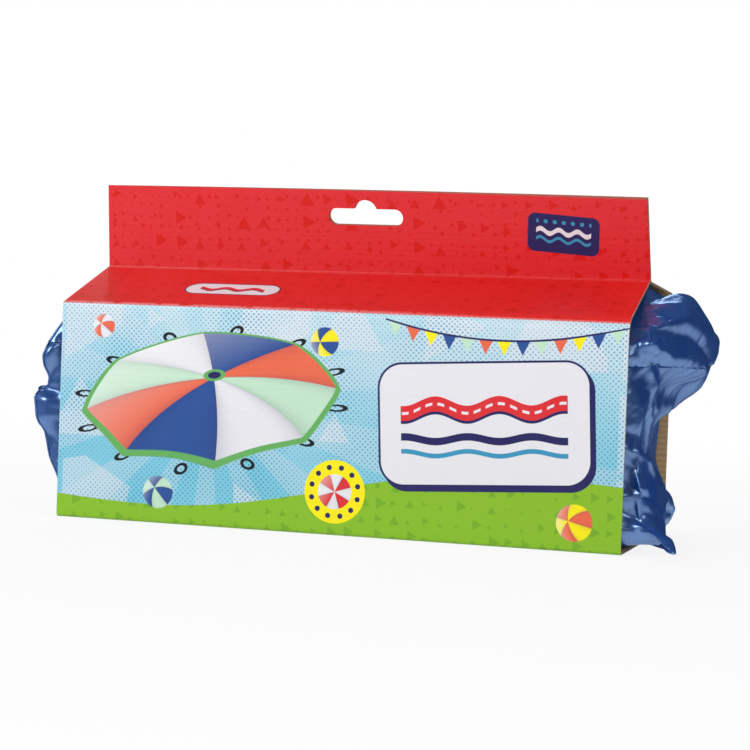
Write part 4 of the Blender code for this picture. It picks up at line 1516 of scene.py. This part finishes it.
def band(path, thickness, starts, stops, columns, looped=False, turned=False):
    """A strip of cloth of one thickness along a path: its two faces and its cut edges, as patches. The path
    lies in Y and Z and the strip's width along X, or if turned, in X and Z with the width along Y."""
    step = np.gradient(path, axis=0)
    if looped:
        step[0] = step[-1] = path[1] - path[-2]
    step = unit(step)
    out = np.column_stack([-step[:, 1], step[:, 0]]) * thickness / 2
    along = steps_along(path)
    share = np.linspace(0, 1, columns)
    width = np.asarray(starts)[:, None] + (np.asarray(stops) - np.asarray(starts))[:, None] * share
    flat = np.dstack([width, np.broadcast_to(along[:, None], width.shape)])

    def face(line):
        """One face of the strip from its line."""
        first = np.broadcast_to(line[:, :1], width.shape)
        second = np.broadcast_to(line[:, 1:], width.shape)
        return np.dstack([first, width, second] if turned else [width, first, second])

    front, back = face(path + out), face(path - out)
    patches = [(front, flat, 0), (back, flat, 0)]
    for column in (0, -1):
        patches.append((np.stack([front[:, column], back[:, column]], axis=1),
                        np.stack([flat[:, column]] * 2, axis=1), 0))
    if not looped:
        for row in (0, -1):
            patches.append((np.stack([front[row], back[row]], axis=1), np.stack([flat[row]] * 2, axis=1), 0))
    return patches


def even(value, path):
    """One value for every point of a path."""
    return np.full(len(path), value)


def sagged(patches):
    """The folded cloth's slow waves: all layers of one run wave alike, so that none meets another."""
    moved = []
    for grid, flat, number in patches:
        x, y, z = grid[..., 0], grid[..., 1], grid[..., 2]
        run = (z - BUNDLE_FLOOR) / RUN_PITCH
        wave = np.sin(x * 71 + run * 1.7) * np.sin(y * 53 + x * 19) + 0.6 * np.sin(x * 143 - y * 37)
        edge = np.sin(np.clip(run / RUNS, 0, 1) * math.pi)
        grid = grid.copy()
        grid[..., 2] = z + SAG * wave * edge
        moved.append((grid, flat, number))
    return moved


def cloth_colours(base, wire):
    """Thin woven nylon: a fine weave, soft crumples and slightly uneven dye."""
    place = object_place(wire)
    shade = noise(wire, place, 60, 3.0)
    tone = mix(base, darker(base, 0.82), below(shade, 0.45, 0.25) * 0.5)
    crumple_height = noise(wire, place, 150, 2.0, 0.55, 0.6)
    weave = wire.node("TexWave", {"wave_type": "BANDS", "bands_direction": "DIAGONAL"},
                      {"Vector": place, "Scale": 1800.0}, 1)
    return {"Base Color": tone, "Normal": bump(crumple_height + weave * 0.04, 0.0009, 0.7)}


def tape_colours(base, wire):
    """Ribbed tape or webbing: ribs across its length, worked out from its flat coordinates, with painted shade in
    the grooves.
    """
    place = surface_place(wire)
    across, along = axis(place, 0), axis(place, 1)
    rib = sine(along * (math.tau / 0.0011))
    strand = sine(across * (math.tau / 0.0016) + rib * 0.8)
    # Painted shade: darker in the grooves between the ribs, where the bump is low
    return {"Base Color": mix(base, darker(base, 0.6), below(rib, -0.2, 0.5) * 0.6),
            "Normal": bump(rib * 0.5 + strand * 0.35, 0.00022, 0.8)}


def cloth(name, shade):
    """A gore's cloth in one colour."""
    return make_material(name, lambda wire: cloth_colours(shade, wire),
                         {"Roughness": 0.55, "Specular IOR Level": 0.35})


def tape(name, shade, roughness):
    """A ribbed tape in one colour."""
    return make_material(name, lambda wire: tape_colours(shade, wire),
                         {"Roughness": roughness, "Specular IOR Level": 0.3})


gore_cloths = [cloth("coral_cloth", colour(226, 96, 66)), cloth("blue_cloth", colour(40, 78, 150)),
               cloth("white_cloth", colour(232, 232, 236)), cloth("mint_cloth", colour(184, 224, 194))]
green_tape = tape("green_tape", colour(84, 158, 84), 0.7)
black_webbing = tape("black_webbing", colour(34, 34, 38), 0.75)

first_run = BUNDLE_FLOOR + (RUN_PITCH - RUN_GAP) / 2
last_run = first_run + (RUNS - 1) * RUN_PITCH
for index in range(GORES):
    offset = (index + 0.5 - GORES / 2) * LAYER_PITCH
    path = folded_path(offset)
    along = np.linspace(0, 1, len(path))
    wander = END_WANDER * (np.sin(along * 37 + index * 2.3) * 0.6 + np.sin(along * 83 + index * 1.1) * 0.4)
    starts = BUNDLE_START + END_WANDER + wander
    stops = BUNDLE_STOP - END_WANDER + wander
    gore = make_piece(f"gore_{index + 1}", sagged(band(path, CLOTH, starts, stops, 44)),
                      [gore_cloths[index % len(gore_cloths)]])
    edge = OUTER_EDGE + CLEARANCE
    half = (CLOTH + CLEARANCE - TAPE) / 2 + 0.0001
    legs = edge + BINDING_WIDTH - half - TAPE / 2
    nose = half_round((legs, last_run + offset), half, -math.pi / 2, math.pi / 2, 9)
    fold = np.concatenate([[[edge, last_run + offset - half]], nose, [[edge, last_run + offset + half]]])
    fold_strip = band(fold, TAPE, even(BUNDLE_START + 0.001, fold), even(BUNDLE_STOP - 0.001, fold), 44)
    binding = make_piece(f"binding_{index + 1}", sagged(fold_strip), [green_tape])
    for piece in (gore, binding):
        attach(piece, "parachute")
    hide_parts(f"canopy_gore_{index + 1}")
    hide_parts(f"edge_binding_{index + 1}")

straight_half = VENT_LENGTH / 2 - VENT_GAP / 2 - VENT_TAPE
middle_x = (BUNDLE_START + BUNDLE_STOP) / 2
radius = (VENT_GAP + VENT_TAPE) / 2
right_end = half_round((middle_x + straight_half, first_run), radius, -math.pi / 2, math.pi / 2, 9)
left_end = half_round((middle_x - straight_half, first_run), radius, math.pi / 2, 3 * math.pi / 2, 9)
loop = np.concatenate([right_end, left_end, [[middle_x + straight_half, first_run - radius]]])
vent_back = -BUNDLE_BEND - CLEARANCE
vent_strip = band(loop, VENT_TAPE, even(vent_back - VENT_WIDTH, loop), even(vent_back, loop), 6,
                  looped=True, turned=True)
vent = make_piece("vent_tape", vent_strip, [green_tape])
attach(vent, "parachute")
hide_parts("vent_binding")

spacing = (BUNDLE_STOP - BUNDLE_START) / HANDLES
outer = WEBBING + 0.0004
middle_z = BUNDLE_TOP + CLEARANCE + outer
turn_y = -HANDLE_REACH / 2
bend_radius = outer - WEBBING / 2
turn_points = half_round((turn_y, middle_z), bend_radius, -math.pi / 2, -3 * math.pi / 2, 11)
runs = [np.column_stack([np.linspace(turn_y + HANDLE_REACH, turn_y, 14)[:-1],
                         np.full(13, middle_z + side * bend_radius)]) for side in (-1, 1)]
strap = np.concatenate([runs[0], turn_points, runs[1][::-1]])
for index in range(HANDLES):
    centre = BUNDLE_START + (index + 0.5) * spacing
    half = (spacing - WEBBING_SPACING) / 2
    handle_strip = band(strap, WEBBING, even(centre - half, strap), even(centre + half, strap), 8)
    handle = make_piece(f"handle_loop_{index + 1}", handle_strip, [black_webbing])
    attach(handle, "parachute")
    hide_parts(f"handle_{index + 1:02d}")

# Stage, lights and camera

def make_camera():
    """The camera at the photograph's place: yaw about Z, then pitch, then roll about its own axis."""
    yaw, pitch, roll = CAMERA_YAW, CAMERA_PITCH, CAMERA_ROLL
    forward = Vector((-math.sin(yaw) * math.cos(pitch), math.cos(yaw) * math.cos(pitch), -math.sin(pitch)))
    level = forward.cross(Vector((0, 0, 1))).normalized()
    upright = level.cross(forward)
    right = math.cos(roll) * level + math.sin(roll) * upright
    up = -math.sin(roll) * level + math.cos(roll) * upright
    camera = add_object("camera", bpy.data.cameras.new("camera"))
    camera.matrix_world = Matrix.Translation(CAMERA_PLACE) @ Matrix((right, up, -forward)).transposed().to_4x4()
    camera.data.sensor_width = SENSOR
    camera.data.lens = SENSOR * FOCAL_PIXELS / IMAGE_PIXELS
    camera.data.clip_end = 50
    bpy.context.scene.camera = camera


def make_lamp(name, place, side, power):
    """A square soft box that faces the pack."""
    data = bpy.data.lights.new(name, "AREA")
    data.shape = "RECTANGLE"
    data.size = data.size_y = side
    data.energy = power
    lamp = add_object(name, data)
    lamp.location = place
    lamp.rotation_euler = (Vector(TARGET) - Vector(place)).to_track_quat("-Z", "Y").to_euler()


def rays(wire):
    """Masks that are 1 for camera, glossy and transmission rays."""
    return [wire.node("LightPath", None, None, f"Is {kind} Ray") for kind in ("Camera", "Glossy", "Transmission")]


def make_world():
    """White where it is seen, and a dimmer pale fill for the light that it gives. Reflections see a dim room
    with a pale ceiling, and more light behind the pack and on its left."""
    world = bpy.data.worlds.new("studio")
    world.use_nodes = True
    tree = world.node_tree
    background = tree.nodes["Background"]
    wire = Wire(tree)
    seen, glossy, through = rays(wire)
    toward = wire.node("TexCoord", None, None, "Generated")
    ceiling = (1 - below(axis(toward, 2), *CEILING)) * CEILING_GLOSS
    backdrop = (1 - below(axis(toward, 1), *BACKDROP)) * BACKDROP_GLOSS
    left_wall = below(axis(toward, 0), *LEFT_WALL) * LEFT_GLOSS
    background.inputs["Color"].default_value = (1, 1, 1, 1)
    dim = glossy * (WORLD_FILL - ROOM_GLOSS - ceiling - backdrop - left_wall)
    strength = greater(seen, through) * (1 - WORLD_FILL) + WORLD_FILL - dim
    tree.links.new(strength.socket, background.inputs["Strength"])
    bpy.context.scene.world = world


def make_floor():
    """A wide pale floor, whose colour is lifted towards white where it is seen, and which keeps the shadow.
    Away from the pack it is white to the camera, and the dim room's floor to reflections."""
    bpy.ops.mesh.primitive_plane_add(size=12)
    floor = bpy.context.object
    floor.name = "floor"
    material = make_material("floor", None, {"Base Color": (0.9, 0.9, 0.9, 1), "Roughness": 0.9})
    tree = material.node_tree
    shader = tree.nodes["Principled BSDF"]
    wire = Wire(tree)
    place = object_place(wire)
    x, y = axis(place, 0), axis(place, 1)
    far = 1 - below(root(x * x + y * y), (FLOOR_NEAR + FLOOR_FAR) / 2, (FLOOR_FAR - FLOOR_NEAR) / 2)
    dim = 1 - below(root(x * x * GLOSS_OVAL + y * y), (GLOSS_NEAR + GLOSS_FAR) / 2, (GLOSS_FAR - GLOSS_NEAR) / 2)
    seen, mirrored, through = rays(wire)
    glow = wire.node("Emission", None, {"Color": (1, 1, 1, 1), "Strength": 1 - mirrored * dim * (1 - FAR_GLOSS)})
    blend = tree.nodes.new("ShaderNodeMixShader")
    mask = greater(seen, greater(mirrored, through)) * (FLOOR_LIFT + far * (1 - FLOOR_LIFT))
    tree.links.new(mask.socket, blend.inputs[0])
    tree.links.new(shader.outputs[0], blend.inputs[1])
    tree.links.new(glow.socket, blend.inputs[2])
    tree.links.new(blend.outputs[0], tree.nodes["Material Output"].inputs["Surface"])
    floor.data.materials.append(material)


WORLD_FILL = 0.6
ROOM_GLOSS = 0.01
CEILING_GLOSS = 0.06
BACKDROP_GLOSS = 0.04
LEFT_GLOSS = 0.35
CEILING = (0.55, 0.35)
BACKDROP = (0.35, 0.3)
LEFT_WALL = (-0.55, 0.35)
FLOOR_LIFT = 0.86
FLOOR_NEAR = 0.3
FLOOR_FAR = 1.1
GLOSS_NEAR = 0.07
GLOSS_FAR = 0.34
GLOSS_OVAL = 0.2
FAR_GLOSS = 0.05
TARGET = (0, 0, 0.07)

make_camera()
make_world()
make_floor()
make_lamp("key", (-0.7, -1.4, 0.8), 0.6, 10)
make_lamp("fill", (1.1, -1.3, 0.7), 0.6, 3)
make_lamp("back", (-0.5, 1.6, 1.0), 0.8, 9)

view = bpy.context.scene.view_settings
view.view_transform = "Standard"
